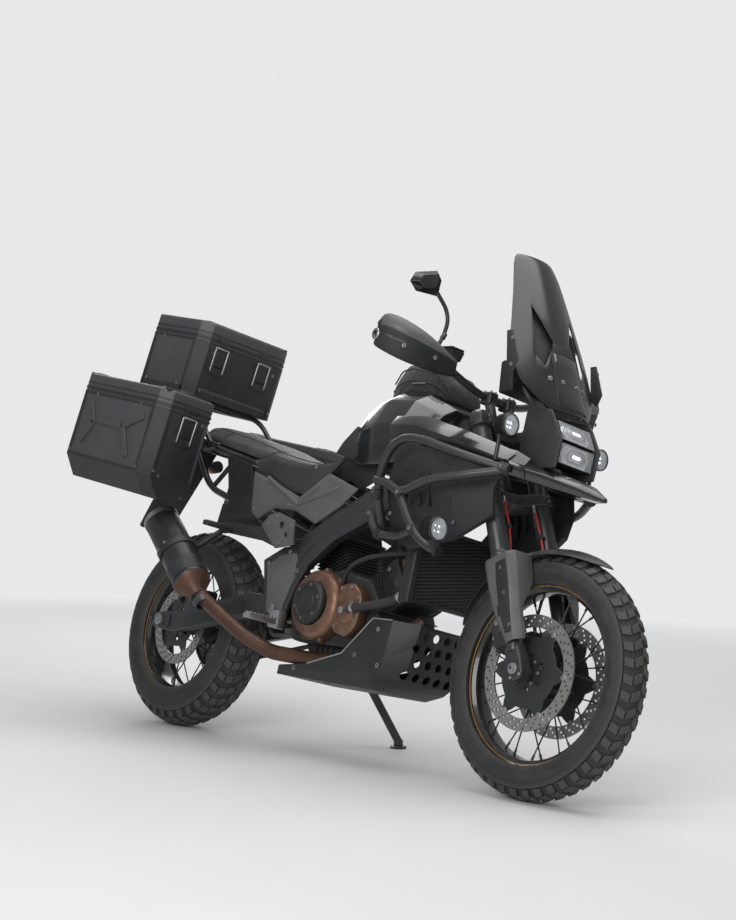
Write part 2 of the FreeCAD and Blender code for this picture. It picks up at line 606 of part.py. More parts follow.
# Skid plate: z, rear x, half width, corner x, front x, corner y
SKID = [(214, 600, 118, 1004, 1044, 84), (238, 630, 142, 1050, 1096, 97), (256, 760, 145, 1066, 1118, 99),
        (300, 905, 148, 1082, 1142, 102),
        (412, 1012, 150, 1092, 1162, 104)]


def tray(inset, lift, back):
    """The skid plate's outer form, drawn in by inset and left open at the back and top."""
    rows = []
    for z, rear, half, corner, front, side in SKID:
        y, w = half - inset, side - inset * 0.6
        rows.append([(rear - back, -y, z + lift), (corner, -y, z + lift), (front - inset, -w, z + lift),
                     (front - inset, w, z + lift), (corner, y, z + lift), (rear - back, y, z + lift)])
    return loft(rows)


skid = tray(0, 0, 0).cut(tray(S.skid_wall, S.skid_wall, 60))
for row, z in enumerate((272, 312, 352, 388)):
    for column in range(4):
        y = (column - 1.5) * 44 + (11 if row % 2 else -11)
        skid = skid.cut(rod((1060, y, z), (1200, y, z), 11, 6))
piece("skid_plate", fused([skid, block((740, 780), (-60, 60), (215, 254.6))]))

# Crash bars, one side: x, y, z
UPPER = [(1010, 172, 640), (1026, 246, 756), (1062, 276, 850), (1110, 282, 902), (1190, 280, 904),
         (1330, 232, 870), (1440, 176, 848)]
MIDDLE = [(1030, 262, 786), (1100, 276, 776), (1160, 280, 745), (1250, 272, 792), (1360, 232, 818),
          (1440, 176, 846)]
LOWER = [(1160, 280, 745), (1214, 270, 661), (1262, 256, 614), (1318, 246, 600)]
SIDE = [(935, 168, 704), (981, 196, 664), (1031, 210, 640), (1149, 238, 632), (1225, 266, 648)]
stub = rod((935, 176, 704), (935, 143.1, 704), S.crash_radius - 3)
bars = fused([tube(route, S.crash_radius, S.crash_bend) for route in (UPPER, MIDDLE, LOWER, SIDE)] + [stub])
piece("crash_bars", both(bars))

peg = block((612, 644), (190, 302), (350, 368)).fuse(block((600, 646), (163.3, 192), (340, 396)))
HEEL = [(470, 646), (498, 679), (543, 690), (622, 669), (638, 593), (556, 579)]
heel = slab(HEEL, 186, 7).fuse(block((540, 600), (163.3, 188), (590, 640)))
HANGER = [(250, 620), (270, 650), (520, 640), (560, 610), (540, 585), (480, 600)]
hang = slab(HANGER, 176, 10)
pillion = block((300, 330), (180, 290), (618, 636))
piece("footrests", both(peg, heel.fuse(hang).fuse(pillion).removeSplitter()))


# Bodywork

# tank stations: x, half width and height of the base, of the widest line and of the top
TANK = [(665, 60, 880, 70, 893, 48, 905), (738, 114, 872, 120, 916, 68, 956),
        (800, 158, 852, 172, 950, 98, 1060), (900, 178, 848, 204, 960, 116, 1098),
        (1000, 172, 862, 196, 970, 104, 1090), (1090, 122, 905, 138, 975, 70, 1046)]


def ring(x, pairs):
    """A closed ring in the plane x from (half width, height) pairs listed upwards."""
    return [(x, -y, z) for y, z in pairs] + [(x, y, z) for y, z in reversed(pairs)]


tank = loft([ring(x, [(a, b), (c, d), (e, f)]) for x, a, b, c, d, e, f in TANK])
piece("fuel_tank", tank)

# tank bag stations: x, half width of the base, base z, half width of the top, top z
BAG = [(812, 84, 1064.9, 62, 1150), (850, 92, 1079.3, 72, 1190), (900, 96, 1098.3, 74, 1192),
       (1000, 92, 1090.3, 70, 1172), (1046, 78, 1067.8, 58, 1128)]
bag = loft([ring(x, [(a, b), (c, d)]) for x, a, b, c, d in BAG])
piece("tank_bag", bag)

# seat stations: x, half base, base z, half top, top z
SEAT = [(-60, 95, 941, 80, 998), (100, 128, 909, 108, 974), (300, 144, 868.5, 112, 936),
        (430, 144, 852, 98, 900), (560, 124, 842, 80, 880), (650, 62, 846, 40, 884)]
seat = loft([ring(x, [(a, b), (a + 6, (b + d) / 2), (c, d)]) for x, a, b, c, d in SEAT])
piece("seat", seat)

COVER_TOP = [(309, 856), (420, 866), (560, 846), (700, 852), (757, 865), (631, 751), (530, 766), (389, 820)]
COVER_LOW = [(351, 819), (488, 780), (597, 744), (713, 821), (853, 778), (790, 722), (693, 666),
             (588, 702), (488, 708), (413, 669), (377, 690)]
COVER_BACK = [(154, 880), (289, 850), (377, 672), (235, 666)]
covers = both(slab(COVER_TOP, 154, 9), slab(COVER_LOW, 163.3, 8), slab(COVER_BACK, 137.8, 5))
piece("side_covers", covers)

# fairing stations: x, then half width and height of the upper edge, the crease and the lower edge
BAND = [(1000, 206, 985, 224, 955, 214, 914), (1100, 186, 990, 218, 955, 208, 906),
        (1250, 158, 955, 198, 920, 188, 878), (1400, 136, 912, 162, 880, 150, 846),
        (1424.7, 134, 908, 156, 876, 146, 843)]
SHROUD = [(1042, 212, 908, 226, 780, 176, 650), (1150, 204, 898, 228, 770, 196, 610),
          (1290, 182, 866, 206, 760, 178, 650), (1400, 150, 842, 166, 790, 152, 730)]


def side_panel(stations, wall):
    """A creased panel on one side."""
    rows = []
    for x, a, b, c, d, e, f in stations:
        rows.append([(x, a, b), (x, c, d), (x, e, f), (x, e - wall, f), (x, c - wall, d), (x, a - wall, b)])
    return loft(rows)


arm = block((1122, 1146), (150, 190.5), (640, 660))
piece("radiator", fused([radiator] + both(arm)))
piece("side_fairings", both(fused([side_panel(BAND, S.fairing_wall), side_panel(SHROUD, S.fairing_wall)])))

BEAK = [(1425, 144, 838, 154, 868, 110, 890), (1500, 96, 826, 108, 856, 62, 878),
        (1590, 44, 810, 52, 834, 26, 852), (1654, 5, 804, 7, 812, 4, 818)]
beak = loft([ring(x, [(a, b), (c, d), (e, f)]) for x, a, b, c, d, e, f in BEAK])
CHEEK = [(NOSE_BACK, 930), (1384, 1056), (1440, 1046), (1456, 1043.7), (1470, 1043.7), (1490, 1020),
         (1530, 960), (1524, 880), (1426, 872)]
cheeks = both(slab(CHEEK, 76, 6))
back_wall = slab([(NOSE_BACK, 930), (1384, 1048), (1392, 1048), (1392, 930)], -77, 154)
piece("nose_cowl", fused([beak, back_wall] + cheeks))
piece("headlight", [slab([(1400, 962), (1404, 1036), (1440, 1030), (1484, 1016), (1516, 962)], -75.7, 151.4),
                    slab([(1440, 896), (1430, 956), (1520, 956), (1518, 896)], -75.7, 151.4)])

# screen rows: z, half width, x of the edge, x of the middle
SCREEN = [(1044, 76, 1466, 1490), (1080, 130, 1425, 1466), (1147, 176, 1374, 1434), (1250, 156, 1332, 1386),
          (1387, 117, 1274, 1312), (1480, 98, 1230, 1262), (1508, 84, 1215, 1242)]
rows = []
for z, half, edge, middle in SCREEN:
    front = [(edge, -half), (middle - (middle - edge) * 0.25, -half / 2), (middle, 0),
             (middle - (middle - edge) * 0.25, half / 2), (edge, half)]
    rows.append([(x, y, z) for x, y in front] + [(x - S.screen_wall, y, z) for x, y in reversed(front)])
piece("windscreen", loft(rows))
DEFLECTOR = [(1344, 1240), (1366, 1242), (1408, 1156), (1396, 1120), (1369, 1136)]
piece("wind_deflectors", both(slab(DEFLECTOR, 176.3, 4)))

# each lamp on its post from the crash bars
low_lamp = [rod((1312, 300, 652), (1362, 300, 652), 32), rod((1300, 250, 620.2), (1300, 250, 656), 7),
            rod((1300, 250, 651), (1322, 292, 652), 7)]
high_lamp = [rod((1398, 188, 968), (1440, 188, 968), 31), rod((1408, 192, 869.6), (1408, 192, 942), 6)]
piece("spot_lamps", both(fused(low_lamp), fused(high_lamp)))

TAIL = [(-50.2, 60, 900, 70, 920, 55, 938), (-230, 50, 930, 60, 950, 45, 975)]
tail = loft([ring(x, [(a, b), (c, d), (e, f)]) for x, a, b, c, d, e, f in TAIL])
hanger = slab([(-170, 935), (-230, 935), (-378, 640), (-360, 632)], -60, 120)
piece("tail_unit", fused([tail, hanger]))


# Luggage

def pitched(x, y, z):
    """Where a case's lower rear inner corner sits, pitched nose down."""
    return Placement(Vector(x, y, z), Rotation(Vector(0, 1, 0), S.case_pitch))


top_home = pitched(-402, -S.topcase_width / 2, 1118)
# the right case sits wider and higher, clear of the muffler
left_home, right_home = pitched(-340, 240, 716), pitched(-340, 262, 736)
RACK = [(90, 0, 60), (90, 0, 262), (420, 0, 262), (420, 0, 60)]


def side_rack(home):
    """The tube frame behind a side case, with its two stays to the subframe."""
    loop = fused([tube(RACK, S.rack_radius, 40), tube([RACK[3], RACK[0]], S.rack_radius, 40)])
    loop.translate(Vector(0, -S.rack_radius - 0.2, 0))
    loop.Placement = home.multiply(loop.Placement)
    y, z = home.Base.y - 10, home.Base.z
    return fused([loop, tube([(20, y, z + 213), (20, 180, 930), (20, 130, 911)], 7, 20, 6),
                  tube([(-120, y, z + 232), (-120, 180, 945), (-120, 126, 938)], 7, 20, 6)])


def under_top_case(x):
    """Middle height of a rail that carries the top case's floor at x."""
    fall = (x - top_home.Base.x) * math.tan(math.radians(S.case_pitch))
    return top_home.Base.z - fall - S.rack_radius - 0.3


top_rails = tube([(60, 138.6, 905), (20, 152, 950), (-40, 150, 1015), (-100, 140, under_top_case(-100)),
                  (-370, 110, under_top_case(-370))], S.rack_radius, 50)
piece("luggage_racks", [side_rack(left_home), mirrored(side_rack(right_home))] + both(top_rails))


def case_solids(length, width, height, lid, wedge_in, wedge_up):
    """Shell and lid of a case: X along it, Y outboard, Z up from the inner bottom edge."""
    cut, wall = S.corner_cut, S.case_wall

    def form(inset, low, high):
        """The outside drawn in by inset, from one height to another."""
        def level(z, out):
            return [(inset, inset, z), (length - inset, inset, z), (length - inset, out - cut, z),
                    (length - cut, out - inset, z), (cut, out - inset, z), (inset, out - cut, z)]
        rows = [level(low, width - wedge_in)] if low < wedge_up else []
        return loft(rows + [level(max(low, wedge_up), width), level(high, width)])

    shell = form(0, 0, height).cut(form(wall, wall, height + 1))
    rim = height + S.lid_gap
    top = form(0, rim, rim + lid).cut(form(wall, rim - 1, rim + lid - wall))
    return shell, top


def make_case(name, home, length, width, height, lid, wedge_in, wedge_up, flip):
    shell, top = case_solids(length, width, height, lid, wedge_in, wedge_up)
    latch = block((length, length + 7), (width * 0.3, width * 0.3 + 34), (height - 70, height - 8))
    shell = shell.fuse(latch).removeSplitter()
    for label, solid in ((name, shell), (name + "_lid", top)):
        solid.Placement = home.multiply(solid.Placement)
        piece(label, mirrored(solid) if flip else solid)


for name, home, flip in (("left_case", left_home, False), ("right_case", right_home, True)):
    make_case(name, home, S.pannier_length, S.pannier_width, S.pannier_height, S.pannier_lid,
              S.wedge_in, S.wedge_up, flip)
make_case("top_case", top_home, S.topcase_length, S.topcase_width, S.topcase_height, S.topcase_lid,
          0, -1, False)


# The lean: both tyres and the stand's foot touch the ground

def lowest(centre, radius, crown, pose):
    """Height of a tyre's lowest point, on the edge of its tread, once the machine is posed."""
    tilt = abs(pose.Rotation.multVec(Vector(0, 1, 0)).z)
    edge = math.radians(S.crown_angle)
    reach = radius - crown + crown * math.cos(edge)
    return pose.multVec(centre).z - reach * math.sqrt(1 - tilt ** 2) - crown * math.sin(edge) * tilt


lean = Rotation(Vector(1, 0, 0), -S.lean_angle)
nod, lift = 0.0, 0.0
for step in range(6):
    pose = Placement(Vector(0, 0, lift), Rotation(Vector(0, 1, 0), math.degrees(nod)).multiply(lean))
    back = lowest(Vector(*REAR_AXLE), S.rear_radius, S.rear_crown, pose)
    front = lowest(FRONT_AXLE, S.front_radius, S.front_crown, pose)
    nod += (front - back) / (FRONT_AXLE.x - REAR_AXLE[0])
    lift -= back

# Side stand: pivot and foot on the upright machine, the foot let down to the ground
foot = Vector(712, 326, 72)
foot = pose.inverse().multVec(Vector(pose.multVec(foot).x, pose.multVec(foot).y, 0))
up = pose.inverse().Rotation.multVec(Vector(0, 0, 1))
root, ankle = STAND_PIVOT + STAND_AXIS * 14, foot + up * 20
stand_leg = tube([root, root + (ankle - root) * 0.3 + STAND_AXIS * 8, ankle], S.stand_radius, 40)
pad = rod(foot, foot + up * 8, 26, 14)
neck = rod(foot + up * 4, foot + up * 26, S.stand_radius + 2)
ear = rod(STAND_PIVOT, STAND_PIVOT + STAND_AXIS * 26, 18)
stand_bore = pin(STAND_PIVOT - STAND_AXIS * 30, STAND_PIVOT + STAND_AXIS * 40, S.stand_pin + S.bearing_gap)
piece("side_stand", fused([stand_leg, pad, neck, ear]).cut(stand_bore))
for part in PIECES:
    part.Placement = pose.multiply(part.Placement)
doc.recompute()

# The origin lies on the ground, midway along and across the parked machine
corners = [point for part in PIECES for point in part.Shape.tessellate(0.5)[0]]
middle = [(min(c) + max(c)) / 2 for c in ([p.x for p in corners], [p.y for p in corners])]
shift = Placement(Vector(-middle[0], -middle[1], 0), Rotation())
for part in PIECES:
    part.Placement = shift.multiply(part.Placement)
doc.recompute()

for obj in doc.Objects:
    if "Invalid" in obj.State or "Error" in obj.State:
        raise RuntimeError("%s is %s" % (obj.Label, obj.State))
for part in PIECES:
    if part.Shape.isNull() or not part.Shape.isValid():
        raise RuntimeError("%s has a bad shape" % part.Label)

os.makedirs("parts", exist_ok=True)
for part in PIECES:
    part.Shape.exportStep("parts/%s.step" % part.Label)
print("lowest point", min(point.z for point in corners))
place = shift.multiply(pose)
PLACES = {
    "rear_axle": Vector(*REAR_AXLE), "front_axle": FRONT_AXLE, "head": Vector(S.head_x, 0, S.head_z),
    "head_up": FORK.multVec(Vector(0, 0, 1)), "left": Vector(0, 1, 0), "forward": Vector(1, 0, 0),
    "zero": Vector(), "stand_pivot": STAND_PIVOT, "stand_axis": STAND_AXIS, "stand_foot": foot,
    "left_home": left_home.Base, "side_forward": left_home.multVec(Vector(1, 0, 0)),
    "side_up": left_home.multVec(Vector(0, 0, 1)),
    "right_home": Vector(right_home.Base.x, -right_home.Base.y, right_home.Base.z), "top_home": top_home.Base,
    "top_forward": top_home.multVec(Vector(1, 0, 0)), "top_up": top_home.multVec(Vector(0, 0, 1)),
}
for name, point in PLACES.items():
    print("place", name, *(round(number, 5) for number in place.multVec(point)))
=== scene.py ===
"""Looks of the adventure motorcycle: finishes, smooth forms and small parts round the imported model.

Pieces are modelled on the upright machine in millimetres: X forward from the rear axle, Y to the
rider's left, Z up from the ground. BIKE then leans them with the frame and turns them to metres.
"""
import json
import math

import bpy
from mathutils import Matrix, Vector


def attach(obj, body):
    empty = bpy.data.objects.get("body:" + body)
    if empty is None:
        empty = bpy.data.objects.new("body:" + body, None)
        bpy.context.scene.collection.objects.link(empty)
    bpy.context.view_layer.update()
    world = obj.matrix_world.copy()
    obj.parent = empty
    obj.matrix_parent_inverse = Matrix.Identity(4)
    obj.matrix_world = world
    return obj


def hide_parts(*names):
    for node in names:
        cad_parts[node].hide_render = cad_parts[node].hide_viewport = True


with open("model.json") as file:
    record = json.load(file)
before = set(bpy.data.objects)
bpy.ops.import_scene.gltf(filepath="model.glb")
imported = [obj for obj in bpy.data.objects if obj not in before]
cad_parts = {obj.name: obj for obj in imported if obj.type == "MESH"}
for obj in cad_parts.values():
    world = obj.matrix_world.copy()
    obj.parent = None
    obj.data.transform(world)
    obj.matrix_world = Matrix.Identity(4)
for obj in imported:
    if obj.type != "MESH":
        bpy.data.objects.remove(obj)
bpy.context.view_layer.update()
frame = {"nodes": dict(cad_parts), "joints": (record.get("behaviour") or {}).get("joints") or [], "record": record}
PARTS = frame["nodes"]
MM = 0.001

# The upright machine's place in the frame, from its two axles
FRONT_R, REAR_R = 329, 321
joints = {joint["name"]: joint for joint in frame["joints"]}
rear_place = Vector(joints["rear_wheel_spin"]["pos_m"])
front_place = Vector(joints["front_wheel_spin"]["pos_m"])
LEFT = Vector(joints["rear_wheel_spin"]["axis"]).normalized()
between = front_place - rear_place
nod = math.asin((FRONT_R - REAR_R) * MM / between.length)
level = between.normalized()
upright = level.cross(LEFT)
FORWARD = level * math.cos(nod) - upright * math.sin(nod)
UP = level * math.sin(nod) + upright * math.cos(nod)
GROUND = rear_place - UP * REAR_R * MM
BIKE = Matrix((FORWARD, LEFT, UP)).transposed().to_4x4()
BIKE.translation = GROUND
BIKE = BIKE @ Matrix.Scale(MM, 4)
FRONT_X = (BIKE.inverted() @ front_place).x
HEAD = BIKE.inverted() @ Vector(joints["steering_head"]["pos_m"])
RAKE = math.atan2(-Vector(joints["steering_head"]["axis"]).dot(FORWARD),
                  Vector(joints["steering_head"]["axis"]).dot(UP))
FORK = Matrix.Translation(HEAD) @ Matrix.Rotation(-RAKE, 4, "Y")
# The fork legs' offset ahead of the steering axis, half their spacing, the axle's drop below the head
LEG_X, LEG_Y, DROP = 43.4, 105, 720.9


# Tools, each one a few steps of work by hand

def select(*pieces):
    """Only these pieces selected, the first one active."""
    if bpy.context.object and bpy.context.object.mode != "OBJECT":
        bpy.ops.object.mode_set(mode="OBJECT")
    bpy.ops.object.select_all(action="DESELECT")
    for piece in pieces:
        piece.select_set(True)
    bpy.context.view_layer.objects.active = pieces[0]
    return pieces[0]


def added(name):
    """The primitive that was just added, named."""
    piece = bpy.context.object
    piece.name = name
    piece.data.name = name
    return piece


def clear():
    bpy.ops.object.select_all(action="DESELECT")


def edit(piece):
    select(piece)
    bpy.ops.object.mode_set(mode="EDIT")
    bpy.ops.mesh.select_all(action="SELECT")


def leave():
    bpy.ops.object.mode_set(mode="OBJECT")


def pick_faces(piece, wanted):
    """Face selection by a test of each face's middle and normal, then edit mode."""
    select(piece)
    bpy.ops.object.mode_set(mode="EDIT")
    bpy.ops.mesh.select_mode(type="FACE")
    bpy.ops.mesh.select_all(action="DESELECT")
    bpy.ops.object.mode_set(mode="OBJECT")
    for face in piece.data.polygons:
        face.select = bool(wanted(face.center, face.normal))
    bpy.ops.object.mode_set(mode="EDIT")


def outline(name, points, fill="NGON"):
    """A circle whose corners are moved to the points."""
    clear()
    bpy.ops.mesh.primitive_circle_add(vertices=len(points), fill_type=fill)
    piece = added(name)
    for vertex, point in zip(piece.data.vertices, points):
        vertex.co = point
    return piece


def outwards(piece):
    edit(piece)
    bpy.ops.mesh.remove_doubles(threshold=0.01)
    bpy.ops.mesh.normals_make_consistent(inside=False)
    leave()
    return piece


def modified(piece, kind, **settings):
    """A modifier added, set and applied."""
    select(piece)
    modifier = piece.modifiers.new(kind.title(), kind)
    for key, number in settings.items():
        setattr(modifier, key, number)
    bpy.ops.object.modifier_apply(modifier=modifier.name)
    return piece


def rounded(piece, width, segments=2, angle=30):
    return modified(piece, "BEVEL", width=width, segments=segments, limit_method="ANGLE",
                    angle_limit=math.radians(angle), harden_normals=False)


def smoothed(piece, levels=2):
    return modified(piece, "SUBSURF", levels=levels, render_levels=levels)


def both_sides(piece):
    return modified(piece, "MIRROR", use_axis=(False, True, False), use_mirror_merge=False)


def plate(name, points, depth, edge=1.2, segments=2):
    """An outline pulled out by depth, with rounded edges."""
    piece = outline(name, points)
    edit(piece)
    bpy.ops.mesh.extrude_region_move(TRANSFORM_OT_translate={"value": depth})
    leave()
    outwards(piece)
    return rounded(piece, edge, segments) if edge else piece


def side_plate(name, points, y, depth, edge=1.2, segments=2):
    """A plate drawn from the side: (x, z) points at y."""
    return plate(name, [(x, y, z) for x, z in points], (0, depth, 0), edge, segments)


def box(name, x, y, z, edge=2, segments=2):
    """A cube between (low, high) pairs, with rounded edges."""
    clear()
    low, high = Vector((x[0], y[0], z[0])), Vector((x[1], y[1], z[1]))
    bpy.ops.mesh.primitive_cube_add(size=1, location=(low + high) / 2)
    piece = added(name)
    piece.scale = high - low
    bpy.ops.object.transform_apply()
    return rounded(piece, edge, segments) if edge else piece


def bar(name, start, end, radius, sides=24, edge=0.8, tip=None):
    """A cylinder between two points, with rounded rims."""
    clear()
    start, end = Vector(start), Vector(end)
    bpy.ops.mesh.primitive_cone_add(vertices=sides, radius1=radius, radius2=tip or radius,
                                    depth=(end - start).length, location=(start + end) / 2)
    piece = added(name)
    piece.rotation_mode = "QUATERNION"
    piece.rotation_quaternion = (end - start).to_track_quat("Z", "Y")
    bpy.ops.object.transform_apply()
    return rounded(piece, edge, 2, 50) if edge else piece


def skin(name, rows, closed=False):
    """A grid pulled onto rows of points; closed joins each row's ends."""
    clear()
    if closed:
        rows = [list(row) + [row[0]] for row in rows]
    bpy.ops.mesh.primitive_grid_add(x_subdivisions=len(rows[0]) - 1, y_subdivisions=len(rows) - 1)
    piece = added(name)
    for vertex, point in zip(piece.data.vertices, [point for row in rows for point in row]):
        vertex.co = point
    return outwards(piece) if closed else piece


def capped(piece):
    """Holes at the ends of a closed skin filled."""
    edit(piece)
    bpy.ops.mesh.select_all(action="DESELECT")
    bpy.ops.mesh.select_mode(type="EDGE")
    bpy.ops.mesh.select_non_manifold()
    bpy.ops.mesh.edge_face_add()
    leave()
    return outwards(piece)


def walled(piece, wall, offset=-1):
    """A wall given to an open sheet."""
    return modified(piece, "SOLIDIFY", thickness=wall, offset=offset, use_even_offset=True)


def sheet(name, rows, wall, offset=-1, edge=2, angle=12, levels=0):
    """A sheet through rows of points, smoothed by levels, with a wall and rounded edges."""
    piece = skin(name, rows)
    if levels:
        piece = smoothed(piece, levels)
    return rounded(outwards(walled(piece, wall, offset)), edge, 2, angle)


def tube(name, points, radius, bend=0, sides=4, closed=False):
    """A path with rounded corners, given a round section."""
    points = [Vector(point) for point in points]
    if len(points) == 2:
        points.insert(1, (points[0] + points[1]) / 2)
    piece = outline(name, points, "NOTHING")
    if not closed:
        edit(piece)
        bpy.ops.mesh.select_mode(type="EDGE")
        bpy.ops.mesh.select_all(action="DESELECT")
        leave()
        ends = {0, len(points) - 1}
        for line in piece.data.edges:
            line.select = set(line.vertices) == ends
        bpy.ops.object.mode_set(mode="EDIT")
        bpy.ops.mesh.delete(type="EDGE")
        leave()
    if bend:
        edit(piece)
        bpy.ops.mesh.select_mode(type="VERT")
        bpy.ops.mesh.bevel(offset_type="OFFSET", offset=bend, segments=5, affect="VERTICES",
                           clamp_overlap=True)
        leave()
    select(piece)
    bpy.ops.object.convert(target="CURVE")
    piece = bpy.context.object
    piece.data.bevel_depth = radius
    piece.data.bevel_resolution = sides
    piece.data.use_fill_caps = True
    bpy.ops.object.convert(target="MESH")
    return outwards(added(name))


def cable(name, points, radius, sides=3, order=4):
    """A smooth flexible line through the air near the points."""
    clear()
    bpy.ops.curve.primitive_nurbs_path_add()
    piece = added(name)
    piece.data.splines.clear()
    line = piece.data.splines.new("NURBS")
    line.points.add(len(points) - 1)
    for knot, point in zip(line.points, points):
        knot.co = (*point, 1)
    line.order_u = min(order, len(points))
    line.use_endpoint_u = True
    piece.data.bevel_depth = radius
    piece.data.bevel_resolution = sides
    piece.data.use_fill_caps = True
    select(piece)
    bpy.ops.object.convert(target="MESH")
    return outwards(added(name))


def lathe(name, profile, start, axis, steps=64):
    """A closed profile of (along, radius) pairs spun about an axis."""
    start, axis = Vector(start), Vector(axis).normalized()
    side = axis.orthogonal().normalized()
    piece = outline(name, [start + axis * a + side * r for a, r in profile], "NOTHING")
    edit(piece)
    bpy.ops.mesh.spin(steps=steps, angle=math.tau, center=start, axis=axis)
    leave()
    return outwards(piece)


def copies(piece, places):
    """Copies of a piece at matrices, joined with nothing left behind."""
    made = []
    for place in places:
        twin = piece.copy()
        twin.data = piece.data.copy()
        twin.data.transform(place)
        bpy.context.scene.collection.objects.link(twin)
        made.append(twin)
    name = piece.name
    bpy.data.objects.remove(piece)
    made[0].name = name
    return joined(*made)


def joined(*pieces):
    name = pieces[0].name
    select(*pieces)
    bpy.ops.object.join()
    return added(name)


def cut(piece, *tools):
    """The tools' forms taken out of a piece."""
    tool = joined(*tools) if len(tools) > 1 else tools[0]
    modified(piece, "BOOLEAN", operation="DIFFERENCE", solver="EXACT", object=tool, use_self=True)
    bpy.data.objects.remove(tool)
    return piece


def moved(piece, place):
    piece.data.transform(place)
    return piece


def bolt(place, direction, radius=5, head=4):
    """A socket screw head standing on a point."""
    clear()
    bpy.ops.mesh.primitive_cylinder_add(vertices=18, radius=radius, depth=head, location=(0, 0, head / 2))
    piece = added("screw")
    pick_faces(piece, lambda centre, normal: normal.z > 0.9)
    bpy.ops.mesh.inset(thickness=radius * 0.14)
    bpy.ops.transform.translate(value=(0, 0, head * 0.1))
    bpy.ops.mesh.inset(thickness=radius * 0.34)
    bpy.ops.mesh.extrude_region_move(TRANSFORM_OT_translate={"value": (0, 0, -head * 0.55)})
    leave()
    turn = Vector(direction).to_track_quat("Z", "Y").to_matrix().to_4x4()
    return moved(piece, Matrix.Translation(Vector(place)) @ turn)


def bolts(name, places, radius=5, head=4):
    """Screw heads at (point, direction) pairs, as one piece."""
    heads = [bolt(place, direction, radius, head) for place, direction in places]
    heads[0].name = name
    return joined(*heads) if len(heads) > 1 else heads[0]


def side_bolts(name, y, points, radius=5, head=4, side=1):
    """Screw heads on a side face: (x, z) points at y, facing outboard."""
    return bolts(name, [((x, y, z), (0, side, 0)) for x, z in points], radius, head)


def done(piece, body, finish, nodes=(), angle=35):
    """A finished piece leaned into the frame, riding on its body with its finish."""
    select(piece)
    bpy.ops.object.transform_apply()
    piece.data.transform(BIKE)
    bpy.ops.object.shade_smooth_by_angle(angle=math.radians(angle))
    piece.data.materials.clear()
    piece.data.materials.append(FINISHES[finish])
    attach(piece, body)
    if nodes:
        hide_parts(*nodes)
    return piece


def on_body(piece, finish, nodes=(), angle=35):
    return done(piece, "chassis", finish, nodes, angle)


def on_both(piece, finish, nodes=(), angle=35):
    """A piece of one side of the chassis, and its mirror image."""
    return done(both_sides(piece), "chassis", finish, nodes, angle)


def on_steering(piece, finish, nodes=(), angle=35):
    return done(piece, "steering", finish, nodes, angle)


def steering_both(piece, finish, nodes=(), angle=35):
    return done(both_sides(piece), "steering", finish, nodes, angle)


def fork_both(piece, finish, nodes=(), angle=35):
    """A piece drawn on the left leg along the steering axis, and its mirror image."""
    return done(moved(both_sides(piece), FORK), "steering", finish, nodes, angle)
# Finishes

class Wire:
    """A number or colour on its way through a material, with plain maths."""

    def __init__(self, recipe, socket):
        self.recipe, self.socket = recipe, socket

    def sums(self, operation, *entries):
        return self.recipe.node("Math", {"operation": operation}, dict(enumerate((self, *entries))))

    def __add__(self, other):
        return self.sums("ADD", other)

    def __mul__(self, other):
        return self.sums("MULTIPLY", other)

    __radd__, __rmul__ = __add__, __mul__

    def between(self, low, high):
        """0 under low, 1 over high."""
        return self.recipe.node("MapRange", {"clamp": True},
                                {"Value": self, "From Min": low, "From Max": high})


class Recipe:
    """A material under construction: each call adds one node."""

    def __init__(self, name, owner=None):
        self.owner = owner or bpy.data.materials.new(name)
        self.owner.use_nodes = True
        self.tree = self.owner.node_tree
        self.tree.nodes.clear()
        if not owner:
            self.place = self.node("TexCoord", output="Object")

    def node(self, kind, settings=None, inputs=None, output=0):
        made = self.tree.nodes.new("ShaderNode" + kind)
        for key, setting in (settings or {}).items():
            setattr(made, key, setting)
        for key, entry in (inputs or {}).items():
            if isinstance(entry, Wire):
                self.tree.links.new(entry.socket, made.inputs[key])
            else:
                made.inputs[key].default_value = entry
        return Wire(self, made.outputs[output])

    def noise(self, scale, detail=4, rough=0.6):
        return self.node("TexNoise", None,
                         {"Vector": self.place, "Scale": scale, "Detail": detail, "Roughness": rough})

    def cells(self, scale, feature="F1"):
        return self.node("TexVoronoi", {"feature": feature}, {"Vector": self.place, "Scale": scale})

    def mix(self, share, first, second):
        """One colour turning to another."""
        return self.node("Mix", {"data_type": "RGBA"}, {0: share, 6: rgba(first), 7: rgba(second)},
                         output=2)

    def facing_up(self):
        """How far a surface faces the sky."""
        normal = self.node("NewGeometry", output="Normal")
        return self.node("SeparateXYZ", None, {0: normal}, output=2)

    def worn_edge(self, low=0.53, high=0.6):
        """Where corners stand out."""
        return self.node("NewGeometry", output="Pointiness").between(low, high)

    def bump(self, height, depth, strength=1.0):
        return self.node("Bump", None, {"Height": height, "Distance": depth, "Strength": strength})

    def surface(self, **inputs):
        """A surface, its inputs named with an underline for a space."""
        return self.node("BsdfPrincipled", None,
                         {key.replace("_", " "): entry for key, entry in inputs.items()})

    def shown(self, surface, output="OutputMaterial"):
        out = self.tree.nodes.new("ShaderNode" + output)
        self.tree.links.new(surface.socket, out.inputs["Surface"])

    def shade(self, **inputs):
        """A surface wired to the output."""
        self.shown(self.surface(**inputs))
        return self.owner


def rgba(colour):
    return colour if isinstance(colour, Wire) else (*colour, 1)


DUST = (0.20, 0.17, 0.13)


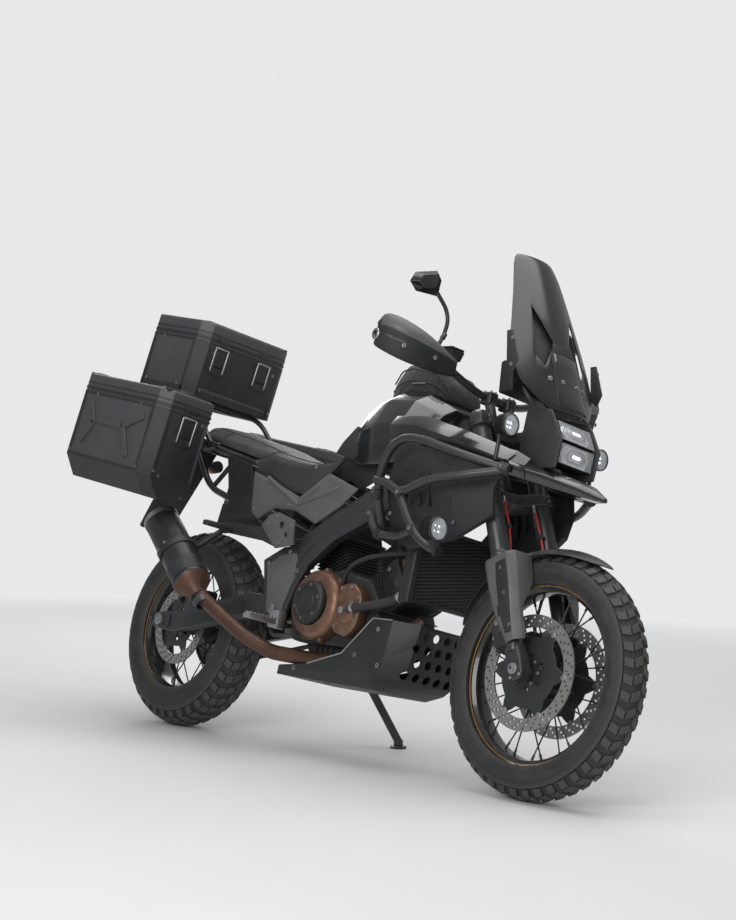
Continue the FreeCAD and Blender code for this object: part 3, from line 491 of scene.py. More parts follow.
def coated(name, colour, light, rough, metal=0.0, coat=0.0, grain=900, grain_depth=0.0, dust=0.25,
           wear=None):
    """Paint, plastic or metal: patches between two tones, fine grain, settled dust and bare edges."""
    recipe = Recipe(name)
    patches = recipe.noise(7.0, 5).between(0.35, 0.68)
    fine = recipe.noise(grain, 2)
    tone = recipe.mix(patches, colour, light)
    if wear:
        scuffs = recipe.worn_edge(0.62, 0.8) * recipe.noise(60, 3).between(0.45, 0.62)
        tone = recipe.mix(scuffs * 0.8, tone, wear)
    settled = recipe.facing_up().between(0.2, 1.0) * recipe.noise(26, 6).between(0.42, 0.75) * dust
    tone = recipe.mix(settled, tone, DUST)
    streaks = recipe.noise(14, 6, 0.7)
    inputs = {"Base_Color": tone, "Metallic": metal,
              "Roughness": streaks * 0.18 + settled * 0.4 + (rough - 0.07)}
    if coat:
        inputs["Coat_Weight"] = coat
        inputs["Coat_Roughness"] = 0.06
    if grain_depth:
        inputs["Normal"] = recipe.bump(fine, grain_depth)
    return recipe.shade(**inputs)


def tyre_rubber():
    """Worn rubber: grey dust on the tread, darker walls, fine scuffs."""
    recipe = Recipe("tyre_rubber")
    grit = recipe.noise(420, 3)
    scuff = recipe.noise(22, 6).between(0.4, 0.7)
    tone = recipe.mix(scuff * 0.55, (0.016, 0.017, 0.018), (0.05, 0.047, 0.043))
    tone = recipe.mix(recipe.worn_edge(0.51, 0.57) * 0.45, tone, (0.10, 0.095, 0.085))
    return recipe.shade(Base_Color=tone, Roughness=scuff * 0.2 + 0.62, Normal=recipe.bump(grit, 0.0004, 0.5))


def disc_steel():
    """Ground steel with fine rings left by the pads."""
    recipe = Recipe("disc_steel")
    lines = recipe.noise(900, 2)
    stain = recipe.noise(30, 5).between(0.4, 0.7)
    tone = recipe.mix(stain * 0.6, (0.42, 0.41, 0.40), (0.26, 0.25, 0.24))
    return recipe.shade(Base_Color=tone, Metallic=0.9, Roughness=stain * 0.14 + 0.34,
                        Normal=recipe.bump(lines, 0.0002, 0.4))


def pipe_steel():
    """Steel pipe browned by heat, with rust freckles and darker bands."""
    recipe = Recipe("pipe_steel")
    heat = recipe.noise(9, 5, 0.7).between(0.35, 0.7)
    rust = recipe.noise(120, 6, 0.75).between(0.5, 0.68)
    tone = recipe.mix(heat, (0.105, 0.046, 0.026), (0.055, 0.028, 0.019))
    tone = recipe.mix(rust * 0.6, tone, (0.07, 0.026, 0.015))
    return recipe.shade(Base_Color=tone, Metallic=0.35, Roughness=rust * 0.2 + 0.42,
                        Normal=recipe.bump(rust + recipe.noise(500), 0.0003, 0.5))


def bronze_paint():
    """Brown engine paint that catches the light, with dark patches of grime."""
    recipe = Recipe("bronze_paint")
    fleck = recipe.noise(1400, 2).between(0.4, 0.7)
    grime = recipe.noise(24, 6).between(0.42, 0.72)
    tone = recipe.mix(fleck * 0.35, (0.20, 0.105, 0.068), (0.32, 0.20, 0.14))
    tone = recipe.mix(grime * 0.75, tone, (0.045, 0.03, 0.024))
    return recipe.shade(Base_Color=tone, Metallic=0.55, Roughness=grime * 0.25 + 0.32,
                        Normal=recipe.bump(fleck, 0.00015, 0.4))


def seat_vinyl():
    """Grained black vinyl with a soft sheen."""
    recipe = Recipe("seat_vinyl")
    grain = recipe.cells(520, "DISTANCE_TO_EDGE")
    faded = recipe.noise(9, 4).between(0.4, 0.7)
    tone = recipe.mix(faded, (0.022, 0.023, 0.024), (0.045, 0.046, 0.048))
    return recipe.shade(Base_Color=tone, Roughness=faded * 0.1 + 0.52, Sheen_Weight=0.15,
                        Normal=recipe.bump(grain.between(0.0, 0.25), 0.0006, 0.6))


def bag_cloth():
    """Coarse woven nylon."""
    recipe = Recipe("bag_cloth")
    x, y, z = (recipe.node("SeparateXYZ", None, {0: recipe.place}, output=i) for i in range(3))
    weave = ((x + z) * 3600).sums("SINE") * ((y + z * 0.5) * 3600).sums("SINE")
    tone = recipe.mix(weave.between(-1, 1) * 0.5, (0.014, 0.015, 0.016), (0.035, 0.036, 0.038))
    return recipe.shade(Base_Color=tone, Roughness=0.82, Sheen_Weight=0.25,
                        Normal=recipe.bump(weave, 0.0005, 0.6))


def core_fins():
    """Fine fins between a radiator's flat tubes, with painted shade darkening the grooves between the fins."""
    recipe = Recipe("core_fins")
    y, z = (recipe.node("SeparateXYZ", None, {0: recipe.place}, output=i) for i in (1, 2))
    height = (y * 2400).sums("SINE").between(-1, 1) * (z * 640).sums("SINE").between(-0.6, 0.2)
    # the colour follows the fins' relief: painted shade in the grooves, lighter crests
    tone = recipe.mix(height, (0.008, 0.008, 0.008), (0.05, 0.05, 0.052))
    return recipe.shade(Base_Color=tone, Metallic=0.4, Roughness=0.55, Normal=recipe.bump(height, 0.002, 0.8))


def smoked_screen():
    """Dark tinted acrylic that mirrors the sky."""
    recipe = Recipe("smoked_screen")
    haze = recipe.noise(5, 4).between(0.3, 0.8)
    return recipe.shade(Base_Color=recipe.mix(haze, (0.010, 0.011, 0.012), (0.020, 0.021, 0.023)), Alpha=0.97,
                        Roughness=haze * 0.1 + 0.2, Coat_Weight=0.2, Coat_Roughness=0.12)


def clear_lens():
    """Clear lamp cover with a faint haze."""
    recipe = Recipe("clear_lens")
    haze = recipe.noise(40, 4).between(0.4, 0.8)
    return recipe.shade(Base_Color=recipe.mix(haze, (0.85, 0.88, 0.9), (0.7, 0.73, 0.76)),
                        Alpha=haze * 0.12 + 0.16, Roughness=haze * 0.05 + 0.04, Coat_Weight=0.7,
                        Coat_Roughness=0.02)


def lamp_bowl():
    """Bright plated reflector, with painted shade along the edges of its facets."""
    recipe = Recipe("lamp_bowl")
    facets = recipe.cells(160)
    # the plating is painted darker towards each facet's edge: painted shade in the creases between facets
    tone = recipe.mix(facets.between(0.0, 0.6), (0.86, 0.88, 0.9), (0.55, 0.58, 0.62))
    return recipe.shade(Base_Color=tone, Metallic=0.95, Roughness=0.12,
                        Normal=recipe.bump(facets, 0.001, 0.5))


def lit_diode():
    """Lit lamp chips."""
    recipe = Recipe("lit_diode")
    glow = recipe.noise(300, 2).between(0.3, 0.7)
    tone = recipe.mix(glow, (0.9, 0.94, 1.0), (0.75, 0.82, 0.95))
    return recipe.shade(Base_Color=tone, Emission_Color=tone, Emission_Strength=1.6, Roughness=0.3)


def tinted_lens(name, colour, deep):
    """Coloured ribbed lamp plastic."""
    recipe = Recipe(name)
    ribs = recipe.cells(260)
    return recipe.shade(Base_Color=recipe.mix(ribs.between(0.0, 0.5), colour, deep),
                        Roughness=ribs * 0.1 + 0.12, Coat_Weight=0.8, Normal=recipe.bump(ribs, 0.0008, 0.5))


BRIGHT = (0.35, 0.35, 0.36)
# Finish: its slot, two tones, roughness, and what else it has
COATS = {
    "gloss_black": ("body_black", (0.008, 0.009, 0.010), (0.013, 0.014, 0.015), 0.16,
                    dict(coat=0.7, dust=0.12)),
    "satin_grey": ("dark_plastic", (0.026, 0.027, 0.029), (0.040, 0.042, 0.044), 0.42,
                   dict(grain_depth=0.0001, dust=0.15)),
    "cover_grey": ("dark_plastic", (0.085, 0.084, 0.087), (0.11, 0.108, 0.112), 0.40,
                   dict(grain_depth=0.0001, dust=0.2)),
    "grained_black": ("dark_plastic", (0.009, 0.010, 0.011), (0.018, 0.019, 0.021), 0.58,
                      dict(grain_depth=0.0005, grain=700, dust=0.3)),
    "frame_paint": ("frame_black", (0.020, 0.021, 0.023), (0.032, 0.033, 0.035), 0.38,
                    dict(grain_depth=0.0001, wear=BRIGHT)),
    "tube_black": ("black_metal", (0.019, 0.020, 0.022), (0.034, 0.035, 0.038), 0.34,
                   dict(grain_depth=0.0002, coat=0.15, dust=0.3)),
    "fork_grey": ("fork_grey", (0.050, 0.051, 0.054), (0.075, 0.076, 0.080), 0.32, dict(metal=0.5)),
    "rim_black": ("rim_black", (0.012, 0.013, 0.014), (0.022, 0.023, 0.024), 0.22, dict(coat=0.4, dust=0.25)),
    "spoke_black": ("rim_black", (0.02, 0.02, 0.021), (0.04, 0.04, 0.042), 0.35, dict(metal=0.6)),
    "gold_line": ("rim_black", (0.38, 0.20, 0.05), (0.30, 0.15, 0.04), 0.4, dict(metal=0.3)),
    "engine_black": ("engine_black", (0.022, 0.022, 0.023), (0.038, 0.037, 0.036), 0.52,
                     dict(metal=0.2, grain_depth=0.0004, grain=500, dust=0.4)),
    "plate_black": ("plate_black", (0.016, 0.018, 0.018), (0.028, 0.029, 0.029), 0.46,
                    dict(metal=0.2, grain_depth=0.0002, dust=0.3)),
    "alloy": ("disc_steel", (0.45, 0.45, 0.46), (0.33, 0.33, 0.34), 0.34, dict(metal=0.9, dust=0.3)),
    "alloy_dark": ("alloy_dark", (0.045, 0.046, 0.050), (0.07, 0.071, 0.075), 0.40, dict(metal=0.5)),
    "screw_steel": ("chain_steel", (0.42, 0.42, 0.42), (0.28, 0.27, 0.26), 0.36, dict(metal=0.95, dust=0.2)),
    "muffler_black": ("muffler_black", (0.022, 0.023, 0.026), (0.04, 0.041, 0.045), 0.30,
                      dict(metal=0.4, grain_depth=0.0001, dust=0.15)),
    "case_black": ("case_black", (0.058, 0.059, 0.064), (0.076, 0.077, 0.082), 0.44,
                   dict(metal=0.25, grain_depth=0.00025, grain=1100, dust=0.18)),
    "case_trim": ("dark_plastic", (0.011, 0.013, 0.014), (0.020, 0.022, 0.024), 0.5,
                  dict(grain_depth=0.0004, grain=800, dust=0.3)),
    "soft_rubber": ("tyre", (0.014, 0.014, 0.015), (0.028, 0.028, 0.029), 0.66,
                    dict(grain_depth=0.0003, dust=0.35)),
    "red_hose": ("hose_rubber", (0.42, 0.030, 0.020), (0.30, 0.020, 0.015), 0.38, dict(coat=0.2, dust=0.2)),
    "mirror_glass": ("lamp_glass", (0.8, 0.82, 0.84), (0.75, 0.77, 0.8), 0.09, dict(metal=1.0, dust=0.05)),
}
OTHERS = {tyre_rubber: "tyre", disc_steel: "disc_steel", pipe_steel: "pipe_steel",
          bronze_paint: "engine_bronze", seat_vinyl: "seat_vinyl", bag_cloth: "bag_fabric",
          core_fins: "engine_black", smoked_screen: "smoked_screen", clear_lens: "lamp_glass",
          lamp_bowl: "lamp_glass", lit_diode: "lamp_glass"}
LENSES = {"tail_red": ((0.45, 0.01, 0.008), (0.22, 0.004, 0.004)),
          "amber_lens": ((0.75, 0.22, 0.02), (0.5, 0.12, 0.01))}
FINISHES, SLOTS = {}, {}
for finish, (slot, colour, light, rough, more) in COATS.items():
    FINISHES[finish], SLOTS[finish] = coated(finish, colour, light, rough, **more), slot
for make, slot in OTHERS.items():
    FINISHES[make.__name__], SLOTS[make.__name__] = make(), slot
for finish, tones in LENSES.items():
    FINISHES[finish], SLOTS[finish] = tinted_lens(finish, *tones), "lamp_glass"

# The finish of a plain node whose slot isn't named after one
NODE_FINISH = {"body_black": "gloss_black", "dark_plastic": "grained_black", "frame_black": "frame_paint",
               "black_metal": "tube_black", "chain_steel": "screw_steel", "tyre": "tyre_rubber",
               "hose_rubber": "soft_rubber", "lamp_glass": "clear_lens", "engine_bronze": "bronze_paint",
               "bag_fabric": "bag_cloth"}
for part in frame["record"]["subparts"]:
    slot = part["material_slot"]
    node = PARTS[part["node"]]
    node.data.materials.clear()
    node.data.materials.append(FINISHES[NODE_FINISH.get(slot, slot)])


# Wheels

REAR_HUB, FRONT_HUB = (0, 0, REAR_R), (FRONT_X, 0, FRONT_R)
# Tread blocks of one pitch on one side: corners as (along the tread, across it)
FRONT_BLOCKS = [[(0, 3), (24, 3), (36, 27), (12, 27)], [(14, 31), (38, 31), (32, 56), (8, 56)]]
REAR_BLOCKS = [[(0, 3), (26, 3), (40, 22), (14, 22)], [(16, 26), (42, 26), (50, 48), (24, 48)],
               [(26, 52), (50, 52), (42, 78), (18, 78)]]


def wrapped(piece, radius, crown, slip):
    """A flat tread piece laid on the tyre: along it, across it and out of it."""
    for vertex in piece.data.vertices:
        along, across, out = vertex.co
        turn, tilt = (along + slip) / radius, across / crown
        reach = radius - crown + (crown + out) * math.cos(tilt)
        vertex.co = (reach * math.sin(turn), (crown + out) * math.sin(tilt), reach * math.cos(turn))
    return piece


def around_hub(piece, count):
    """A piece of the wheel at the origin repeated round the axle."""
    return copies(piece, [Matrix.Rotation(math.tau * i / count, 4, "Y") for i in range(count)])


def mirrored_profile(half, middle=()):
    """A profile from the points of its right half, listed from the outside in."""
    return [(-along, radius) for along, radius in half] + [*middle] + half[::-1]


# Degrees from the middle of the tread, round the tyre's section
SECTION = (15, 30, 45, 59.5, 60.5, 68, 76, 84, 88, 100, 112, 122)
TREAD_EDGE, WALL_RIDGES = 60, (84, 88)
ORIGIN, ACROSS = (0, 0, 0), (0, 1, 0)


def make_tyre(name, body, centre, radius, crown, seat, bead, blocks, pitches):
    """A tyre with a round section, its tread standing out in blocks."""
    deep, hub = 6, radius - crown
    profile = []
    for degrees in [-a for a in reversed(SECTION)] + [0, *SECTION]:
        out = crown - (deep if abs(degrees) < TREAD_EDGE else 0) + (1.4 if abs(degrees) in WALL_RIDGES else 0)
        profile.append((out * math.sin(math.radians(degrees)), hub + out * math.cos(math.radians(degrees))))
    profile += [(bead, seat), (bead - 8, seat + 2), (bead - 6, seat + 20), (6 - bead, seat + 20),
                (8 - bead, seat + 2), (-bead, seat)]
    carcass = lathe(name, profile, ORIGIN, ACROSS, 120)
    pieces = []
    for slip, side in ((0, 1), (0.5, -1)):
        for corners in blocks:
            block = plate("block", [(s, w * side, -deep - 1) for s, w in corners], (0, 0, deep + 1), 1, 1)
            pieces.append(wrapped(outwards(block), radius, crown, slip * math.tau * radius / pitches))
    tread = around_hub(joined(*pieces), pitches)
    tyre = moved(joined(carcass, tread), Matrix.Translation(centre))
    done(tyre, body, "tyre_rubber", [name.replace("_rubber", "_tyre")], 40)


SPOKES, SPOKE_LEAD, SPOKE_CIRCLE = 28, 48, 37


def make_rim(name, body, centre, seat, bead, half, node):
    """A rim with its hub, crossed spokes, nipples and painted lines."""
    foot, flange = seat - 18, half - 12
    profile = mirrored_profile([(bead + 2, seat + 7), (bead + 4, seat + 5), (bead + 3, seat - 1),
                                (bead * 0.8, seat - 6), (bead * 0.66, foot + 2), (bead * 0.55, foot),
                                (bead * 0.2, foot - 1)])
    profile += [(bead - 2, seat + 4), (bead * 0.6, foot + 5), (-bead * 0.6, foot + 5), (2 - bead, seat + 4)]
    rim = lathe(name, profile, ORIGIN, ACROSS, 120)
    spokes = []
    nipples = []
    for i in range(4):
        side = 1 if i % 2 else -1
        at_rim = math.tau * i / SPOKES
        at_hub = at_rim + math.radians(SPOKE_LEAD if i < 2 else -SPOKE_LEAD)
        start = Vector((SPOKE_CIRCLE * math.cos(at_hub), side * (flange + 3),
                        SPOKE_CIRCLE * math.sin(at_hub)))
        end = Vector(((foot + 2) * math.cos(at_rim), side * bead * 0.18, (foot + 2) * math.sin(at_rim)))
        run = (end - start).normalized()
        spokes.append(bar("spoke", start, end, 2.1, 8, 0))
        nipples.append(bar("nipple", end - run * 20, end, 3.6, 8, 0.6))
        spokes.append(bar("spoke_head", start - Vector((0, side * 3, 0)), start + Vector((0, side * 5, 0)), 4,
                          8, 0.5))
    spokes = around_hub(joined(*spokes), SPOKES // 4)
    nipples = around_hub(joined(*nipples), SPOKES // 4)
    ends = [(half, 14), (half, 34), (half - 3, 41), (flange + 1, 41), (flange - 2, 38), (flange - 8, 27)]
    hub = lathe("hub", mirrored_profile(ends, [(0, 24)]), ORIGIN, ACROSS, 48)
    place = Matrix.Translation(centre)
    done(moved(rim, place), body, "rim_black", [node])
    for piece, finish in ((spokes, "spoke_black"), (nipples, "satin_grey"), (hub, "frame_paint")):
        done(moved(piece, place), body, finish)
    wide = bead * 0.9
    for side in (-1, 1):
        stripe = lathe("gold_stripe", [(side * wide, seat - 3.8), (side * (wide + 2.6), seat - 2.2),
                                       (side * (wide + 2.3), seat - 4.4), (side * (wide + 0.6), seat - 5.4)],
                       ORIGIN, ACROSS, 96)
        done(moved(stripe, place), body, "gold_line")


def make_disc(name, body, centre, outer, band, y, direction, nodes=(), holes=30):
    """A drilled ring on a dark carrier with buttons, its outer face towards direction."""
    inner = outer - band
    ring = lathe(name, [(0, inner), (5, inner), (5, outer), (0, outer)], ORIGIN, ACROSS, 120)
    drills = []
    for fraction, slip in ((0.22, 0), (0.5, 0.33), (0.78, 0.66)):
        reach = outer - band * fraction
        drill = bar("drill", (reach, -3, 0), (reach, 8, 0), 4, 10, 0)
        drills.append(moved(drill, Matrix.Rotation(math.tau * slip / holes, 4, "Y")))
    ring = cut(ring, around_hub(joined(*drills), holes))
    # the carrier's edge over one of its six arms: far out at the arm, stepping in between arms
    steps = [inner - 2] * 2 + [inner - 14] + [inner - 26] * 7 + [inner - 14, inner - 2]
    star = [(reach * math.cos(math.tau * i / 72), 0.5, reach * math.sin(math.tau * i / 72))
            for i, reach in enumerate(steps * 6)]
    carrier = plate("carrier", star, (0, 4, 0), 0.8, 1)
    window = moved(bar("window", (44, -3, 0), (44, 8, 0), 9, 16, 0),
                   Matrix.Rotation(math.radians(30), 4, "Y"))
    carrier = cut(carrier, around_hub(window, 6))
    button = lathe("button", [(-1.2, 0.01), (-1.2, 8), (5.2, 8), (5.8, 7), (5.8, 4), (4.8, 3.5), (4.8, 0.01)],
                   (inner + 1, 0, 0), ACROSS, 20)
    buttons = around_hub(button, 6)
    bolt_ring = around_hub(bolt((32, 4.5, 0), ACROSS, 4.5, 3), 6)
    place = Matrix.Translation(Vector(centre) + Vector((0, y, 0)))
    if direction < 0:
        place = place @ Matrix.Rotation(math.pi, 4, "X")
    done(moved(ring, place), body, "disc_steel", nodes)
    for piece, finish in ((carrier, "frame_paint"), (buttons, "screw_steel"), (bolt_ring, "screw_steel")):
        done(moved(piece, place), body, finish)


FRONT_SEAT, REAR_SEAT = 241, 216
FRONT_BEAD, REAR_BEAD = 40, 56
make_tyre("front_rubber", "front_wheel", FRONT_HUB, FRONT_R, 57, FRONT_SEAT, FRONT_BEAD, FRONT_BLOCKS, 46)
make_tyre("rear_rubber", "rear_wheel", REAR_HUB, REAR_R, 76, REAR_SEAT, REAR_BEAD, REAR_BLOCKS, 40)
make_rim("front_hoop", "front_wheel", FRONT_HUB, FRONT_SEAT, FRONT_BEAD, 62, "front_rim")
make_rim("rear_hoop", "rear_wheel", REAR_HUB, REAR_SEAT, REAR_BEAD, 66, "rear_rim")
make_disc("right_disc", "front_wheel", FRONT_HUB, 155, 34, -62, -1, ["front_discs"])
make_disc("left_disc", "front_wheel", FRONT_HUB, 155, 34, 62, 1)
make_disc("back_disc", "rear_wheel", REAR_HUB, 130, 32, -66, -1, ["rear_disc"], 26)


# Fork, mudguard, calipers and hoses, drawn along the steering axis

def fork_bar(name, y, low, high, radius, sides=32, edge=1.5):
    return bar(name, (LEG_X, y, low), (LEG_X, y, high), radius, sides, edge)


fork_both(joined(fork_bar("upper_tubes", LEG_Y, -430, 45, 27),
                 fork_bar("seal_collar", LEG_Y, -432, -398, 29.5),
                 fork_bar("tube_step", LEG_Y, -398, -384, 28.2)), "fork_grey", ["fork_tubes"])
cap = joined(fork_bar("fork_caps", LEG_Y, 45, 50, 24), fork_bar("cap_nut", LEG_Y, 50, 58, 11, 6, 0.8))
fork_both(cap, "alloy")
YOKE = [(-34, 0), (-34, 38), (LEG_X - 28, LEG_Y + 18), (LEG_X - 8, LEG_Y + 30), (LEG_X + 10, LEG_Y + 34),
        (LEG_X + 28, LEG_Y + 28), (LEG_X + 34, LEG_Y + 10), (LEG_X + 32, LEG_Y - 18), (30, 28), (30, 0)]
for name, z in (("upper_yoke", 0), ("lower_yoke", -200)):
    half = plate(name, [(x, y, z) for x, y in YOKE], (0, 0, 34), 3, 3)
    fork_both(half, "alloy_dark")
    fork_both(bolts("yoke_bolts", [((LEG_X + 34, LEG_Y - 4, z + h), (1, 0.1, 0)) for h in (10, 24)], 5, 5),
              "screw_steel")
on_steering(moved(bar("steering_stem", (0, 0, -200), (0, 0, 20), 16), FORK), "alloy_dark")
on_steering(moved(bar("stem_nut", (0, 0, 34), (0, 0, 44), 17, 6, 1), FORK), "alloy")

LUG = [(-24, 66), (22, 66), (27, 20), (25, -18), (12, -31), (-14, -31), (-26, -14)]
lug = side_plate("axle_lugs", [(LEG_X + x, z - DROP) for x, z in LUG], LEG_Y - 20, 40, 5, 3)
leg = joined(lug, fork_bar("lower_tube", LEG_Y, 60 - DROP, -428, 21.5),
             fork_bar("leg_foot", LEG_Y, 50 - DROP, 84 - DROP, 24))
fork_both(leg, "fork_grey", ["fork_legs"])
axle = joined(bar("axle_nuts", (LEG_X, LEG_Y + 18, -DROP), (LEG_X, LEG_Y + 27, -DROP), 15, 32, 1.5),
              bar("axle_hex", (LEG_X, LEG_Y + 27, -DROP), (LEG_X, LEG_Y + 33, -DROP), 10, 6, 0.8))
axle = cut(axle, bar("socket", (LEG_X, LEG_Y + 22, -DROP), (LEG_X, LEG_Y + 40, -DROP), 5.5, 6, 0))
fork_both(axle, "alloy")
fork_both(bar("axle_shaft", (LEG_X, 0, -DROP), (LEG_X, LEG_Y, -DROP), 10, 24, 0), "alloy")
fork_both(side_bolts("pinch_bolts", LEG_Y + 20, [(LEG_X + s, -22 - DROP) for s in (-16, 14)], 4.5, 4),
          "screw_steel")

# Mudguard: angle from the top, half width
BLADE = [(-72, 22), (-66, 42), (-58, 57), (-44, 66), (-30, 69), (-15, 69), (-2, 65), (8, 57), (17, 46),
         (24, 28), (28.5, 6)]
hub = Matrix.Translation((FRONT_X, 0, FRONT_R))
rows = []
for angle, half in BLADE:
    row = []
    for k in range(13):
        share = k / 6 - 1
        fall = 26 * half / 69 * abs(share) ** 3.2 - 2.2 * max(0, 1 - abs(share) * 3.2)
        row.append(hub @ Matrix.Rotation(math.radians(angle), 4, "Y") @ Vector((0, half * share, 345 - fall)))
    rows.append(row)
blade = rounded(smoothed(walled(skin("mudguard_blade", rows), 3.2, 1), 1), 0.6, 1, 60)
on_steering(outwards(blade), "satin_grey", ["front_mudguard"], 50)

# Fork covers: height above the axle, back, front, outer side, inner side at the front
GUARD = [(316, -34, 66, 36, -42), (306, -36, 68, 37, -43), (241, -37, 62, 36, -42), (200, -36, 57, 35, -20),
         (161, -32, 48, 34, 4), (100, -16, 45, 34, 4), (71, -8, 42, 33, 6)]
rows = []
for z, back, front, out, inn in GUARD:
    rows.append([(LEG_X + back - 2, LEG_Y + out - 24, z - DROP), (LEG_X + back, LEG_Y + out - 8, z - DROP),
                 (LEG_X + back + 12, LEG_Y + out, z - DROP), (LEG_X + front - 18, LEG_Y + out, z - DROP),
                 (LEG_X + front, LEG_Y + out - 18, z - DROP), (LEG_X + front + 2, LEG_Y + inn, z - DROP)])
cover = rounded(walled(skin("fork_covers", rows), 3.5, -1), 1.2, 2, 25)
fork_both(outwards(cover), "cover_grey")
STRIP = [(8, 296), (44, 296), (40, 236), (30, 158), (22, 96), (2, 96), (-4, 160), (0, 240)]
strip = side_plate("cover_strips", [(LEG_X + x, z - DROP) for x, z in STRIP], LEG_Y + 32, 6.2)
fork_both(strip, "case_trim")
fork_both(bolts("cover_screws", [((LEG_X + 20, LEG_Y + 36.6, z - DROP), (0, 1, 0)) for z in (276, 204, 112)]
                + [((LEG_X - 22, LEG_Y + 34.5, 288 - DROP), (0, 1, 0))], 5, 3), "screw_steel")
fork_both(box("cover_bridge", (LEG_X - 14, LEG_X + 14), (LEG_Y + 20, LEG_Y + 35), (146 - DROP, 180 - DROP),
              3), "grained_black")

# Radial calipers behind each disc
CALIPER = [(-50, 92), (-38, 80), (-14, 84), (-5, 98), (-5, 148), (-16, 164), (-38, 166), (-50, 152)]
for name, y, depth in (("outer", 69, 13), ("inner", 46, 14)):
    body = side_plate(name + "_caliper_halves", [(x, z - DROP) for x, z in CALIPER], y, depth, 3.5, 3)
    fork_both(body, "engine_black", ["front_calipers"] if name == "outer" else ())
fork_both(joined(box("caliper_bridge", (-49, -38), (54, 74), (98 - DROP, 148 - DROP), 3),
                 box("caliper_arm", (-30, LEG_X - 21), (70, 100), (85 - DROP, 121 - DROP), 4)),
          "engine_black")
pots = joined(bar("piston_caps", (-27, 82, 104 - DROP), (-27, 84.5, 104 - DROP), 14, 32, 1),
              bar("piston_cap", (-27, 82, 140 - DROP), (-27, 84.5, 140 - DROP), 14, 32, 1))
fork_both(pots, "alloy_dark")
fork_both(side_bolts("caliper_bolts", 82, [(-43, 122 - DROP), (-10, 122 - DROP), (-43, 92 - DROP),
                                           (-12, 158 - DROP)], 5, 5), "screw_steel")

# Brake hoses with crimped ends
HOSE = [(50, 62, -201), (54, 63, -240), (58, 64.5, -300), (50, 72, -400), (12, 77, -480), (-20, 78, -520),
        (-26, 76, 168.5 - DROP)]
fork_both(cable("brake_lines", HOSE, 3.6), "red_hose", ["brake_hoses"])
ends = joined(bar("hose_ends", (50, 62, -201), (51, 62.3, -222), 5.4, 12, 0.8),
              bar("hose_end", (-26, 76, 166 - DROP), (-25, 76.5, 190 - DROP), 5.2, 12, 0.8),
              bar("banjo", (-26, 70, 163 - DROP), (-26, 84, 163 - DROP), 7, 16, 0.8))
fork_both(ends, "alloy")
grommet = joined(bar("hose_guides", (57, 64.3, -306), (57.6, 64.8, -292), 6, 14, 1),
                 box("hose_bracket", (40, 60), (64, 82), (-303, -296), 1))
fork_both(grommet, "soft_rubber")


# Engine

def on_circle(centre, radius, degrees):
    """A point (x, z) on a circle seen from the side."""
    turn = math.radians(degrees)
    return centre[0] + radius * math.cos(turn), centre[1] + radius * math.sin(turn)


def round_cover(name, centre, y, side, profile):
    """A turned cover standing on the engine's side: (out, radius) pairs."""
    return lathe(name, profile, (centre[0], y, centre[1]), (0, side, 0))


def bolt_circle(name, centre, y, side, radius, angles, size=5, head=4):
    return side_bolts(name, y, [on_circle(centre, radius, a) for a in angles], size, head, side)


CASE = [(614, 336), (632, 322), (660, 318), (930, 318), (966, 332), (990, 362), (990, 440), (968, 480),
        (930, 520), (800, 545), (665, 520), (625, 490), (612, 450)]
case = joined(side_plate("crankcase", CASE, -117, 234, 9, 3),
              side_plate("sump", [(660, 330), (704, 257), (896, 257), (958, 330)], -87, 174, 9, 3))
on_body(case, "engine_black", ["engine_case"])
ribs = [side_plate("case_rib", [(x, 262), (x + 4, 262), (x + 4, 322), (x, 322)], -93, 186, 1, 1)
        for x in range(720, 900, 24)]
on_body(joined(*ribs), "engine_black")
on_body(joined(side_plate("case_seam", [(606, 446), (994, 436), (994, 440), (606, 450)], -119, 238, 1, 1),
               side_plate("case_seam_low", [(650, 330), (965, 330), (965, 334), (650, 334)],
                          -119.5, 239, 1, 1)), "alloy_dark")

CLUTCH, CLUTCH_FACE, CLUTCH_CIRCLE = (752, 430), (744, 431), 103
on_body(round_cover("clutch_gasket", CLUTCH, -117, -1, [(0, 20), (0, 106), (3, 106), (3, 20)]), "frame_paint")
rim = round_cover("clutch_cover", CLUTCH, -120, -1,
                  [(0, 60), (0, 104), (26, 104), (36, 101), (43, 95), (49, 84), (49, 66), (44, 62), (44, 60)])
angles = range(8, 368, 40)
lugs = []
for x, z in (on_circle(CLUTCH, CLUTCH_CIRCLE, degrees) for degrees in angles):
    lugs.append(bar("clutch_lug", (x, -121, z), (x, -140, z), 9, 20, 1.5))
on_body(joined(rim, *lugs), "bronze_paint", ["engine_covers"], 40)
on_body(bolt_circle("clutch_bolts", CLUTCH, -140, -1, CLUTCH_CIRCLE, angles, 5.2, 5), "screw_steel")
face = round_cover("clutch_face", CLUTCH_FACE, -166, -1,
                   [(0, 2), (0, 66), (10, 66), (16, 62), (19.5, 55), (19.5, 46), (16, 44), (16, 30), (18, 28),
                    (18, 2)])
on_body(face, "plate_black", (), 40)
on_body(bolt_circle("clutch_face_bolts", CLUTCH_FACE, -184.5, -1, 50.5, range(20, 380, 60), 4, 2.5),
        "screw_steel")

